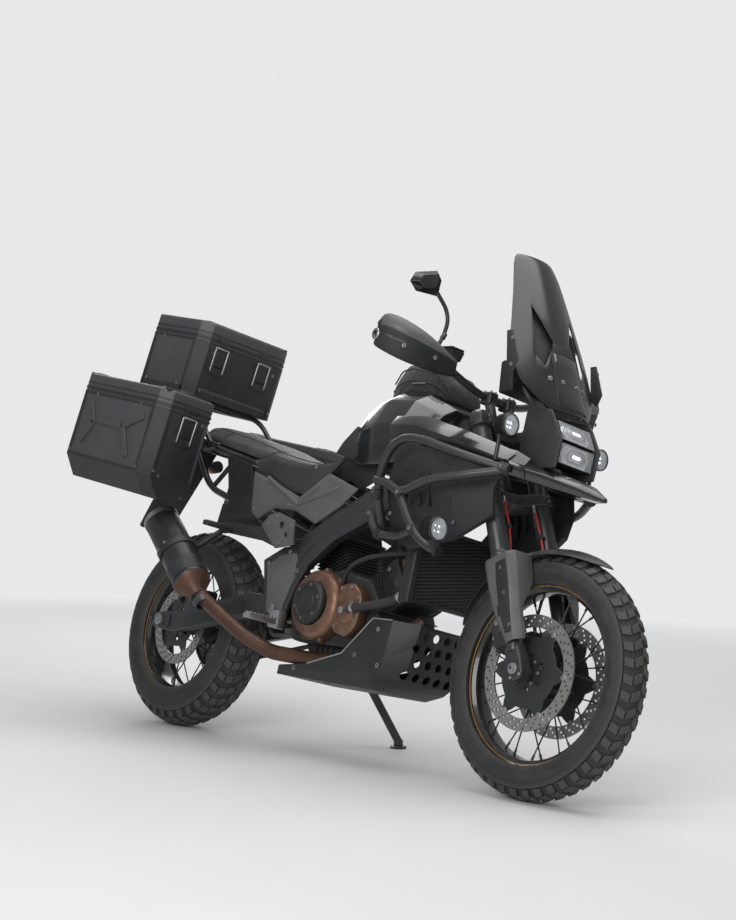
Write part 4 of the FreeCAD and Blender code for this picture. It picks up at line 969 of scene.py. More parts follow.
PUMP = [(842, 370), (858, 356), (905, 345), (928, 360), (944, 384), (952, 440), (950, 468), (936, 484),
        (905, 505), (866, 500), (850, 486)]
on_body(side_plate("pump_cover", PUMP, -158, 40, 8, 3), "bronze_paint")
on_body(round_cover("pump_snail", (900, 420), -152, -1,
                    [(0, 2), (0, 40), (10, 38), (17, 30), (19, 18), (19, 2)]),
        "bronze_paint", (), 45)
on_body(bar("pump_boss", (900, -168, 420), (900, -184, 420), 12, 6, 1.5), "alloy")
on_body(side_bolts("pump_bolts", -158,
                   [(858, 372), (906, 358), (938, 396), (940, 462), (902, 490), (862, 484)], 5, 4, -1),
        "screw_steel")
GENERATOR = (780, 430)
left = round_cover("generator_cover", GENERATOR, 117, 1,
                   [(0, 10), (0, 94), (24, 94), (38, 88), (46, 76), (51, 58), (51, 40), (48, 36), (48, 10)])
on_body(left, "bronze_paint", (), 40)
on_body(bolt_circle("generator_bolts", GENERATOR, 150, 1, 84, range(0, 360, 40)), "screw_steel")
on_body(side_plate("sprocket_cover", [(618, 350), (614, 440), (634, 466), (686, 476), (686, 346), (640, 340)],
                   118, 25, 6, 3), "engine_black")
on_body(side_bolts("sprocket_cover_bolts", 143, [(630, 356), (626, 440), (676, 466), (676, 356)], 4.5, 4),
        "screw_steel")


def cylinder(name, base, lean):
    """One finned barrel with its head and cover, square on its own axis."""
    place = Matrix.Translation(base) @ Matrix.Rotation(math.radians(lean), 4, "Y")
    fins = [box("fin", (-70, 70), (-72, 72), (z, z + 4.5), 1.6, 2) for z in range(24, 116, 11)]
    barrel = joined(box(name + "_barrel", (-60, 60), (-62, 62), (4, 120), 12, 3), *fins)
    on_body(moved(barrel, place), "engine_black", ["cylinders"] if name == "front" else ())
    head = joined(box(name + "_head", (-73, 73), (-77, 77), (118, 166), 9, 3),
                  box("plug_well", (-20, 20), (-80, 80), (126, 150), 8, 3))
    on_body(moved(head, place), "engine_black")
    on_body(moved(box(name + "_rocker_cover", (-66, 66), (-72, 72), (166, 196), 14, 4), place),
            "bronze_paint")
    heads = bolts(name + "_head_bolts", [((x, y, 190), (0, 0, 1)) for x in (-48, 48) for y in (-55, 55)]
                  + [((x, -77.5, 128), (0, -1, 0)) for x in (-50, 50)], 6, 5)
    on_body(moved(heads, place), "screw_steel")


cylinder("front", (874, 0, 452), 58)
cylinder("rear", (722, 0, 510), -24)
on_body(cable("coolant_hose", [(1116, -150, 486), (1096, -158, 468), (1040, -160, 452), (985, -165, 440),
                               (945, -168, 432), (918, -170, 426)], 13), "soft_rubber", (), 60)
on_body(cable("oil_line", [(842, -140, 500), (862, -160, 540), (910, -158, 572), (980, -150, 590),
                           (1040, -148, 600), (1112, -140, 606)], 7), "soft_rubber", (), 60)
on_body(cable("upper_hose", [(1112, -156, 676), (1080, -150, 690), (1030, -120, 684), (1000, -90, 650),
                             (984, -70, 620)], 14), "soft_rubber", (), 60)
on_body(joined(bar("hose_clamps", (1110, -152, 482), (1099, -156, 472), 15, 24, 1),
               bar("clamp", (930, -169, 430), (942, -168.5, 432), 15, 24, 1),
               bar("clamp", (1106, -154, 681), (1094, -152, 687), 16, 24, 1)), "alloy")

# Radiator
on_body(box("radiator_core", (1119, 1149), (-150, 150), (478, 684), 1, 1), "core_fins", ["radiator"])
tanks = [box("radiator_tanks", (1112, 1155), y, (463, 697), 7, 3) for y in ((-172, -149), (149, 172))]
tanks += [box("radiator_rail", (1116, 1153), (-150, 150), z, 3, 2) for z in ((470, 481), (682, 691))]
tanks += [box("radiator_arm", (1122, 1146), y, (640, 660), 3, 2) for y in ((-190, -170), (170, 190))]
on_body(joined(*tanks), "plate_black")

# Exhaust
HEADER = [(1110, -50, 425), (1090, -72, 396), (1076, -113, 330), (1020, -114, 280), (900, -114, 274),
          (720, -116, 272), (600, -160, 272), (510, -205, 306), (413, -232, 356), (315, -257, 408),
          (296, -260, 424)]
on_body(tube("header_pipe", HEADER, 22.5, 34, 6), "pipe_steel", ["exhaust_pipes"], 50)
front, back = Vector(HEADER[-1]), Vector((63, -280, 629))
along = (back - front).normalized()


def on_can(name, profile, finish, nodes=()):
    """A part turned about the muffler's middle line."""
    return on_body(lathe(name, profile, front, along), finish, nodes, 40)


on_can("muffler_cone", [(-34, 10), (-34, 24), (-30, 26), (-14, 32), (8, 52), (24, 60), (24, 10)],
       "pipe_steel")
on_can("weld_bead", [(-37, 20), (-37, 26), (-34.5, 27.5), (-32, 26), (-32, 20)], "alloy_dark")
on_can("pipe_clamp", [(-74, 21), (-74, 26.5), (-52, 26.5), (-52, 21)], "alloy_dark")
reach = (back - front).length
on_can("muffler_can", [(23, 20), (23, 57), (28, 60), (34, 60), (37, 56.5), (reach - 24, 56), (reach - 18, 54),
                       (reach - 18, 20)], "muffler_black", ["muffler"])
on_can("muffler_ring", [(reach - 20, 50), (reach - 20, 57), (reach - 4, 57.5), (reach, 54), (reach, 34),
                        (reach - 6, 31), (reach - 60, 30), (reach - 60, 27), (reach - 2, 28)], "alloy")
on_can("muffler_strap", [(148, 54), (148, 59.5), (150, 60.5), (176, 60.5), (178, 59.5), (178, 54)],
       "plate_black")
on_can("heat_band", [(40, 54), (40, 57.6), (96, 57.6), (96, 54)], "case_trim")
strap = front + along * 163
on_body(joined(bar("muffler_hanger", strap + Vector((10, 56, 20)), (240, -150, 636), 9, 16, 1),
               bar("hanger_washer", (243, -160, 634), (239, -146, 637), 17, 24, 1.5)), "plate_black")
on_body(bolts("muffler_bolts", [(strap + Vector((-14, -58, -14)), (-0.2, -1, -0.3)),
                                (strap + Vector((10, -59, 12)), (0, -1, 0.3))], 5, 5), "screw_steel")

# Skid plate: height, rear end, half width, corner, front end, half width at the front
SKID = [(214, 600, 118, 1004, 1044, 84), (238, 630, 142, 1050, 1096, 97), (256, 760, 145, 1066, 1118, 99),
        (300, 905, 148, 1082, 1142, 102), (412, 1012, 150, 1092, 1162, 104)]
FLOOR, rear, half, corner, front, side = SKID[0]
rows = [[(x, 0, FLOOR - 0.1) for x in (rear, rear, corner, front, front, corner, rear, rear)]]
rows += [[(rear, -half, z), ((rear + corner) / 2, -half, z), (corner, -half, z), (front, -side, z),
          (front, side, z), (corner, half, z), ((rear + corner) / 2, half, z), (rear, half, z)]
         for z, rear, half, corner, front, side in SKID]
tray = walled(outwards(skin("skid_plate_body", rows)), 4, -1)
holes = []
for row, z in enumerate((268, 308, 348, 386)):
    for column in range(5):
        y = (column - 2) * 42 + (10 if row % 2 else -10)
        holes.append(bar("hole", (1060, y, z), (1220, y, z), 12.5, 20, 0))
for x in (760, 850, 940):
    holes += [bar("drain", (x, y, 190), (x, y, 240), 14, 20, 0) for y in (-60, 60)]
tray = rounded(cut(tray, *holes), 1.2, 2, 35)
on_body(tray, "plate_black", ["skid_plate"])
lip = [tube("skid_lip", [(760, 146 * side, 257), (905, 149 * side, 301), (1012, 151 * side, 412),
                         (1092, 151 * side, 412)], 2.6) for side in (-1, 1)]
on_body(joined(*lip), "alloy")
on_body(bolts("skid_bolts", [((x, s * (w + 0.5), z), (0, s, 0)) for s in (-1, 1)
                             for x, z, w in ((700, 236, 141), (1040, 380, 149), (960, 300, 147),
                                             (1060, 280, 145))], 7, 4), "screw_steel")
on_body(box("skid_mount", (740, 780), (-60, 60), (217, 256), 3), "frame_paint")


# Bodywork

def hull(name, rings, edge=4, segments=3, angle=12):
    """A closed form through rings, its edges rounded."""
    return rounded(capped(skin(name, rings, True)), edge, segments, angle)


def stations(table, crest=0):
    """Rings across the machine from rows of x, (half width, height) pairs upwards, and the middle's height.

    Where a row leaves the middle's height out, crest is its rise above the last pair.
    """
    rings = []
    for x, *numbers in table:
        pairs = list(zip(numbers[::2], numbers[1::2]))
        if len(numbers) % 2:
            pairs.append((0, numbers[-1]))
        if crest:
            pairs.append((0, numbers[-1] + crest))
        rings.append([(x, -y, z) for y, z in pairs] + [(x, y, z) for y, z in reversed(pairs)])
    return rings


STUFFING_FRAMES = 20


def stuffed(piece, voxel, pressure, cap, firm_below):
    """A padded form: remeshed evenly and blown up a little as cloth, its movement capped."""
    modified(piece, "REMESH", mode="VOXEL", voxel_size=voxel, use_smooth_shade=True)
    piece.data.transform(Matrix.Scale(MM, 4))
    before = [vertex.co.copy() for vertex in piece.data.vertices]
    held = piece.vertex_groups.new(name="held")
    held.add([v.index for v in piece.data.vertices if firm_below(v.co / MM)], 1, "REPLACE")
    select(piece)
    bpy.ops.object.modifier_add(type="CLOTH")
    cloth = piece.modifiers[-1]
    cloth.settings.use_pressure = True
    cloth.settings.uniform_pressure_force = pressure
    cloth.settings.effector_weights.gravity = 0
    cloth.settings.vertex_group_mass = "held"
    cloth.settings.quality = 4
    cloth.collision_settings.use_collision = False
    for step in range(1, STUFFING_FRAMES + 1):
        bpy.context.scene.frame_set(step)
    bpy.ops.object.modifier_apply(modifier=cloth.name)
    bpy.context.scene.frame_set(1)
    for vertex, start in zip(piece.data.vertices, before):
        shift = vertex.co - start
        if shift.length > cap * MM:
            vertex.co = start + shift.normalized() * cap * MM
    piece.vertex_groups.clear()
    piece.data.transform(Matrix.Scale(1 / MM, 4))
    return smoothed(piece, 1)


# tank stations: x, half width and height of the base, the widest line, the shoulder and the top
TANK = [(667, 60, 880, 70, 893, 60, 900, 40, 904), (738, 113, 873, 119, 916, 100, 938, 60, 955),
        (800, 157, 853, 171, 950, 142, 1012, 84, 1055), (850, 168, 850, 190, 958, 152, 1038, 92, 1078),
        (900, 177, 849, 203, 961, 160, 1050, 96, 1096), (1000, 171, 863, 195, 971, 150, 1048, 90, 1088),
        (1088, 121, 906, 137, 975, 108, 1016, 60, 1046)]
on_body(hull("tank_shell", stations(TANK, 2), 7, 3, 8), "gloss_black", ["fuel_tank"], 40)
on_body(side_plate("tank_pads", [(716, 884), (740, 920), (790, 968), (822, 960), (838, 896), (800, 866)],
                   -167, 6, 2.5), "soft_rubber")

# bag stations: x, then half width and height of the foot, the widest line and the shoulder
BAG = [(814, 80, 1066, 76, 1110, 60, 1146), (850, 88, 1080, 84, 1140, 68, 1184),
       (900, 92, 1099, 88, 1150, 70, 1188), (1000, 88, 1091, 84, 1136, 66, 1168),
       (1044, 74, 1069, 70, 1098, 54, 1124)]
BAG_FOOT = 1082
bag = stuffed(hull("tank_bag_body", stations(BAG), 6), 6, 3, 4, lambda point: point.z < BAG_FOOT)
on_body(bag, "bag_cloth", ["tank_bag"], 60)
zips = []
for lift in (0, 40):
    loop = [(816, -77, 1098 + lift * 0.6), (850, -87, 1120 + lift), (900, -90, 1130 + lift * 0.9),
            (1000, -86, 1116 + lift * 0.8), (1040, -72, 1090 + lift * 0.5)]
    zips.append(tube("bag_zips", loop, 2.2, 12))
on_body(joined(*zips), "soft_rubber")
on_body(box("bag_stripe", (905, 960), (-93, -88), (1118, 1122), 0.8), "alloy")
on_body(tube("bag_handle", [(880, 0, 1188), (900, 0, 1204), (960, 0, 1196), (985, 0, 1174)], 7, 10),
        "soft_rubber")

# seat stations: x, then half width and height of the base, the bulge and the shoulder, and the top's height
SEAT = [(-56, 92, 943, 92, 968, 74, 988, 992), (20, 108, 928, 108, 955, 88, 978, 984),
        (100, 124, 911, 126, 940, 102, 964, 970), (200, 134, 892, 136, 920, 110, 944, 950),
        (300, 140, 871, 140, 900, 112, 924, 930), (380, 140, 858, 140, 884, 108, 902, 907),
        (430, 138, 854, 138, 874, 100, 888, 893), (500, 130, 846, 128, 864, 90, 876, 881),
        (560, 118, 844, 116, 860, 76, 870, 874), (610, 84, 846, 82, 858, 52, 868, 872),
        (648, 56, 848, 54, 858, 34, 870, 874)]
seat = stuffed(hull("seat_pad", stations(SEAT), 5, 2, 10), 7, 5, 7,
               lambda point: point.z < 962 - (point.x + 60) * 0.165)
on_body(seat, "seat_vinyl", ["seat"], 70)
seams = []
for side in (-1, 1):
    line = [(x, (e + 8) * side, f - 1) for x, a, b, c, d, e, f, g in SEAT[1:]]
    seams.append(cable("seat_seams", line, 1.7))
for x, a, b, c, d, e, f, g in (SEAT[2], SEAT[5]):
    arch = [(x, -c - 2, d), (x, -e - 3, f + 3), (x, 0, g + 7), (x, e + 3, f + 3), (x, c + 2, d)]
    seams.append(cable("seat_seam", arch, 1.7))
on_body(joined(*seams), "soft_rubber")

# The tray under the seat and the dark panels between seat and tank
TRAY = [(-50, 941), (100, 909), (300, 869), (430, 852), (560, 843)]
tray = [[(x, -108, z - 20), (x, 108, z - 20), (x, 110, z - 1), (x, -110, z - 1)] for x, z in TRAY]
on_body(hull("seat_tray", tray, 3), "grained_black")
KNEE = [(668, 846), (706, 880), (742, 924), (796, 975), (850, 990), (902, 902), (872, 816), (812, 784),
        (758, 812), (700, 800)]
on_both(side_plate("knee_panels", KNEE, 118, 6, 2), "grained_black")


def creased(name, points, y, depth, border, rise, edge=1.5):
    """A side plate whose outer face is drawn in by a border and raised, mirrored to both sides."""
    piece = side_plate(name, points, y, depth, 0)
    pick_faces(piece, lambda centre, normal: abs(normal.y) > 0.9 and centre.y > y + depth * 0.5)
    bpy.ops.mesh.inset(thickness=border)
    bpy.ops.transform.translate(value=(0, rise, 0))
    leave()
    return both_sides(rounded(outwards(piece), edge, 2, 8))


COVER_TOP = [(309, 856), (420, 866), (560, 846), (700, 852), (757, 865), (631, 751), (530, 766), (389, 820)]
COVER_LOW = [(351, 819), (488, 780), (597, 744), (713, 821), (853, 778), (790, 722), (693, 666), (588, 702),
             (488, 708), (413, 669), (377, 690)]
COVER_BACK = [(154, 880), (289, 850), (377, 672), (235, 666)]
on_body(creased("seat_side_covers", COVER_TOP, 154, 9, 12, 3), "satin_grey", ["side_covers"])
on_body(creased("side_covers_low", COVER_LOW, 163, 8, 9, 4), "cover_grey")
on_body(creased("side_covers_back", COVER_BACK, 137, 6, 14, -2.5), "case_trim")
ridge = []
for (x0, z0), (x1, z1) in (((430, 800), (600, 722)), ((600, 722), (770, 776)), ((690, 790), (610, 726))):
    corners = [(x0, z0 - 8), (x1, z1 - 8), (x1, z1 + 8), (x0, z0 + 8)]
    ridge.append(side_plate("cover_ridge", corners, 168, 12, 6, 4))
on_both(joined(*ridge), "cover_grey")
COVER_SCREWS = [(392, 175, 700), (560, 175, 716), (690, 175, 690), (640, 166, 838), (350, 166, 848)]
on_both(bolts("cover_screws_side", [(place, ACROSS) for place in COVER_SCREWS], 6, 3), "screw_steel")

# fairing stations: x, then out and height of the upper edge, the crease and the lower edge
BAND = [(1000, 206, 985, 224, 955, 214, 914), (1050, 198, 988, 222, 956, 212, 909),
        (1100, 186, 990, 218, 955, 208, 906), (1250, 158, 955, 198, 920, 188, 878),
        (1400, 136, 912, 162, 880, 150, 846), (1426, 134, 908, 156, 876, 146, 843),
        (1462, 116, 890, 131, 868, 122, 838)]
SHROUD = [(1042, 212, 908, 226, 780, 176, 650), (1150, 204, 898, 228, 770, 196, 610),
          (1290, 182, 866, 206, 760, 178, 650), (1400, 150, 842, 166, 790, 152, 730)]
band = [[(x, a - 8, b + 0.5), (x, a - 3, b), (x, c, d), (x, (c + e) / 2 + 1, (d + f) / 2), (x, e, f),
         (x, e - 16, f - 1)] for x, a, b, c, d, e, f in BAND]
on_both(sheet("fairing_band", band, 3.5), "gloss_black", ["side_fairings"])
shroud = [[(x, a, b), (x, (a + c) / 2, (b + d) / 2), (x, c, d), (x, (c + e) / 2, (d + f) / 2), (x, e, f),
           (x, e - 18, f + 3)] for x, a, b, c, d, e, f in SHROUD]
on_both(sheet("fairing_shroud", shroud, 3.5), "grained_black")
vents = [side_plate("shroud_vents", [(x, 820), (x + 12, 822), (x + 42, 730), (x + 32, 728)], 214, 14, 2)
         for x in range(1080, 1216, 34)]
on_both(joined(*vents), "case_trim")
on_both(bolts("fairing_screws", [((1030, 216, 932), ACROSS), ((1180, 206, 904), ACROSS),
                                 ((1330, 172, 872), (0, 1, 0.1)), ((1070, 222, 700), ACROSS),
                                 ((1300, 196, 690), ACROSS)], 6, 3), "screw_steel")
on_both(plate("blank_badge", [(1120, 206, 962), (1230, 190, 936), (1232, 196, 926), (1122, 212, 950)],
              (0, 2.5, 0), 0.8), "satin_grey")

# beak stations: x, then half width and height of the bottom, the widest line, the shoulder and the top
BEAK = [(1427, 142, 840, 152, 868, 124, 882, 108, 888), (1500, 95, 827, 106, 856, 80, 868, 60, 876),
        (1590, 43, 811, 51, 834, 38, 844, 24, 850), (1652, 5, 805, 7, 812, 5, 815, 3, 817)]
on_body(hull("beak", stations(BEAK, 1), 3), "gloss_black", ["nose_cowl"], 30)
CHEEK = [(1380, 930), (1384, 1056), (1440, 1046), (1456, 1043), (1472, 1042), (1490, 1020), (1530, 960),
         (1524, 880), (1426, 872)]
on_both(side_plate("cheeks", CHEEK, 76, 7, 2.5, 3), "satin_grey")
NOSE_WALL = [(1380, 932), (1384, 1048), (1394, 1048), (1394, 932)]
on_body(side_plate("nose_wall", NOSE_WALL, -76, 152, 2), "grained_black")

# Headlight: two stacked lamps
for name, shell, window in (
        ("high", [(1400, 963), (1404, 1034), (1440, 1030), (1478, 1016), (1508, 963)],
         [(1484, 1013), (1514, 964), (1510, 962), (1480, 1011)]),
        ("low", [(1440, 898), (1430, 955), (1512, 955), (1510, 898)],
         [(1514, 952), (1513, 900), (1509, 900), (1510, 952)])):
    on_body(side_plate(name + "_lamp_shell", shell, -75, 150, 3, 2), "grained_black",
            ["headlight"] if name == "high" else ())
    (ax, az), (bx, bz) = window[0], window[1]
    middle = Vector(((ax + bx) / 2, 0, (az + bz) / 2))
    out = Vector((az - bz, 0, bx - ax)).normalized()
    up = Vector((ax - bx, 0, az - bz)).normalized()

    def facet(part, half, tall, low, high, finish):
        """A six-sided plate facing along the lamp."""
        corners = [(half, 0), (half * 0.72, tall), (-half * 0.72, tall), (-half, 0), (-half * 0.72, -tall),
                   (half * 0.72, -tall)]
        on_body(outwards(plate(part, [middle + Vector((0, y, 0)) + up * t + out * low for y, t in corners],
                               out * (high - low), 1.2, 2)), finish)

    facet(name + "_bowl", 62, 25, -1, 1.5, "lamp_bowl")
    facet(name + "_ring", 40, 18, 1, 5, "alloy")
    facet(name + "_eye", 34, 14, 1, 6, "lamp_bowl")
    facet(name + "_diode", 19, 5, 1, 6.6, "lit_diode")
    glass = [(ax + 7, az + 2), (bx + 7, bz - 1), (bx + 4, bz - 1), (ax + 4, az + 2)]
    on_body(side_plate(name + "_lens", glass, -66, 132, 1), "clear_lens")
BROW = [(1404, 1036), (1480, 1018), (1492, 1004), (1484, 1000), (1404, 1024)]
on_both(side_plate("lamp_brow", BROW, 66, 10, 2), "satin_grey")

# Screen rows: z, half width, x of the edge, x of the middle
SCREEN = [(1044, 76, 1466, 1490), (1080, 130, 1425, 1466), (1147, 176, 1374, 1434), (1250, 156, 1332, 1386),
          (1387, 117, 1274, 1312), (1480, 98, 1230, 1262), (1508, 80, 1215, 1242)]
rows = []
for z, half, edge, middle in SCREEN:
    rows.append([(middle - (middle - edge) * abs(k / 6) ** 2, half * k / 6, z - 3 * abs(k / 6) ** 4)
                 for k in range(-6, 7)])
screen = walled(smoothed(skin("screen_sheet", rows), 1), 4, 0)
SLOT = ((81, 1347), (30, 1244), (78, 1165), (100, 1193))
slots = [outwards(plate("slot", [(1200, s * y, z) for y, z in SLOT], (300, 0, 0), 0)) for s in (-1, 1)]
screen = rounded(outwards(cut(screen, *slots)), 1, 2, 50)
on_body(screen, "smoked_screen", ["windscreen"], 50)


def on_screen(y, z, out=0):
    """A point on the screen, out in front of it."""
    for (z0, h0, e0, m0), (z1, h1, e1, m1) in zip(SCREEN, SCREEN[1:]):
        if z <= z1:
            break
    t = (z - z0) / (z1 - z0)
    middle, edge, half = m0 + (m1 - m0) * t, e0 + (e1 - e0) * t, h0 + (h1 - h0) * t
    return middle - (middle - edge) * (y / half) ** 2 + out, y, z


def screen_sheet(name, corners, out, wall):
    """A sheet laid along the screen between two edges of (y, z) points, low and high."""
    rows = []
    for t in range(5):
        row = []
        for k in range(-5, 6):
            (y0, z0), (y1, z1) = corners
            y = (y0 + (y1 - y0) * t / 4) * k / 5
            row.append(on_screen(y, z0 + (z1 - z0) * t / 4, out))
        rows.append(row)
    return sheet(name, rows, wall, 0, 1, 40)


on_body(screen_sheet("screen_backing", ((112, 1140), (96, 1352)), -17, 3), "grained_black")
on_body(screen_sheet("screen_vent", ((46, 1216), (40, 1242)), 2, 5), "grained_black")
on_body(screen_sheet("screen_panel", ((52, 1060), (46, 1212)), 4, 5), "gloss_black")
on_body(screen_sheet("panel_frame", ((58, 1054), (52, 1218)), 1.5, 5), "grained_black")
on_body(bolts("screen_screws", [(on_screen(s * 70, 1130, 2), (1, 0.4 * s, 0.3)) for s in (-1, 1)]
              + [(on_screen(s * 30, 1130, 7), (1, 0.2 * s, 0.3)) for s in (-1, 1)], 7, 4), "screw_steel")
DEFLECTOR = [(1344, 1240), (1366, 1242), (1396, 1180), (1408, 1156), (1396, 1120), (1369, 1136)]
on_both(side_plate("deflectors", DEFLECTOR, 176, 4.5, 1.8, 2), "satin_grey", ["wind_deflectors"])
on_both(side_bolts("deflector_screws", 181, [(1372, 1216), (1386, 1140)], 6, 3), "screw_steel")
DASH = [(1262, 1088), (1250, 1180), (1264, 1186), (1300, 1176), (1316, 1096)]
on_body(side_plate("dash_case", DASH, -88, 176, 6, 3), "grained_black")
on_body(plate("dash_glass", [(1259, -72, 1102), (1249, -72, 1172), (1249, 72, 1172), (1259, 72, 1102)],
              (-3, 0, 0)), "smoked_screen")
on_body(joined(*[bar("dash_stay", (1300, y, 1120), (1392, y, 1036), 8, 12) for y in (-40, 40)]), "tube_black")


def lamp(name, x, y, z, radius, length, fins, chips, nodes=()):
    """A round lamp facing forward: finned body, bezel, bowl, lit chips and lens."""
    profile = [(0, 4), (0, radius * 0.5), (4, radius * 0.62)]
    for k in range(fins):
        a = 6 + k * (length - 18) / fins
        profile += [(a, radius * 0.72), (a, radius * 0.95), (a + 2.2, radius * 0.95),
                    (a + 2.2, radius * 0.72)]
    profile += [(length - 10, radius * 0.8), (length - 9, radius), (length, radius),
                (length + 2, radius * 0.93), (length - 3, radius * 0.9), (length - 16, 8), (length - 16, 4)]
    start = (x, y, z)
    on_both(lathe(name, profile, start, (1, 0, 0), 48), "plate_black", nodes, 30)
    on_both(lathe(name + "_bowl", [(length - 15, 2), (length - 15, 8), (length - 4, radius * 0.88),
                                   (length - 3, radius * 0.9), (length - 3, radius * 0.86), (length - 13, 2)],
                  start, (1, 0, 0), 48), "lamp_bowl")
    lit = [box("chip", (x + length - 13, x + length - 9), (y + s * chips - 4, y + s * chips + 4),
               (z + t * chips - 4, z + t * chips + 4), 1) for s in (-1, 1) for t in (-1, 1)]
    on_both(joined(*lit), "lit_diode")
    on_both(lathe(name + "_lens", [(length - 2, 0.5), (length - 2, radius * 0.9), (length, radius * 0.88),
                                   (length + 2.5, radius * 0.6), (length + 3.5, 0.5)], start, (1, 0, 0), 48),
            "clear_lens", (), 60)


lamp("low_lamps", 1310, 300, 652, 33, 52, 5, 9, ["spot_lamps"])
lamp("high_lamps", 1398, 188, 968, 31, 42, 3, 7)
stays = joined(bar("lamp_stays", (1300, 250, 620), (1300, 250, 656), 7, 16, 1),
               bar("stay", (1300, 250, 651), (1322, 292, 652), 7, 16, 1),
               bar("stay", (1408, 192, 870), (1408, 192, 942), 6, 16, 1),
               box("stay_clamp", (1286, 1314), (236, 262), (606, 634), 4))
on_both(stays, "tube_black")

# Tail stations: x, then half width and height of the bottom, the widest line and the top
TAIL = [(-52, 60, 901, 69, 920, 54, 937), (-140, 56, 915, 66, 934, 51, 955),
        (-228, 50, 931, 59, 950, 44, 974)]
on_body(hull("tail_shell", stations(TAIL), 4), "satin_grey", ["tail_unit"])
on_body(side_plate("plate_carrier", [(-172, 934), (-230, 934), (-376, 641), (-361, 633)], -59, 118, 3),
        "grained_black")
on_body(side_plate("tail_lamp", [(-229, 934), (-229, 968), (-240, 964), (-243, 940)], -42, 84, 4, 3),
        "tail_red")
on_both(bar("amber_lamps", (-250, 110, 890), (-274, 110, 886), 20, 32, 4), "amber_lens")
on_both(joined(bar("amber_shells", (-226, 110, 894), (-252, 110, 890), 21, 32, 3),
               bar("amber_stem", (-240, 58, 892), (-240, 96, 892), 7, 12)), "soft_rubber")


# Luggage: each case drawn with x along it, y outboard and z up from its inner bottom edge

CASE_TILT, CHAMFER = 7.5, 34
# Raised ribs of a side case's outer wall: x and z of both ends
RIBS = [(97, 239, 136, 184), (136, 184, 94, 122), (175, 195, 309, 192), (309, 192, 406, 237),
        (320, 186, 373, 107)]


def case_home(x, y, z, flip=1):
    """The place of a case's inner bottom edge, flipped over for the right side."""
    place = Matrix.Translation((x, y, z)) @ Matrix.Rotation(math.radians(CASE_TILT), 4, "Y")
    return Matrix.Scale(flip, 4, ACROSS) @ place


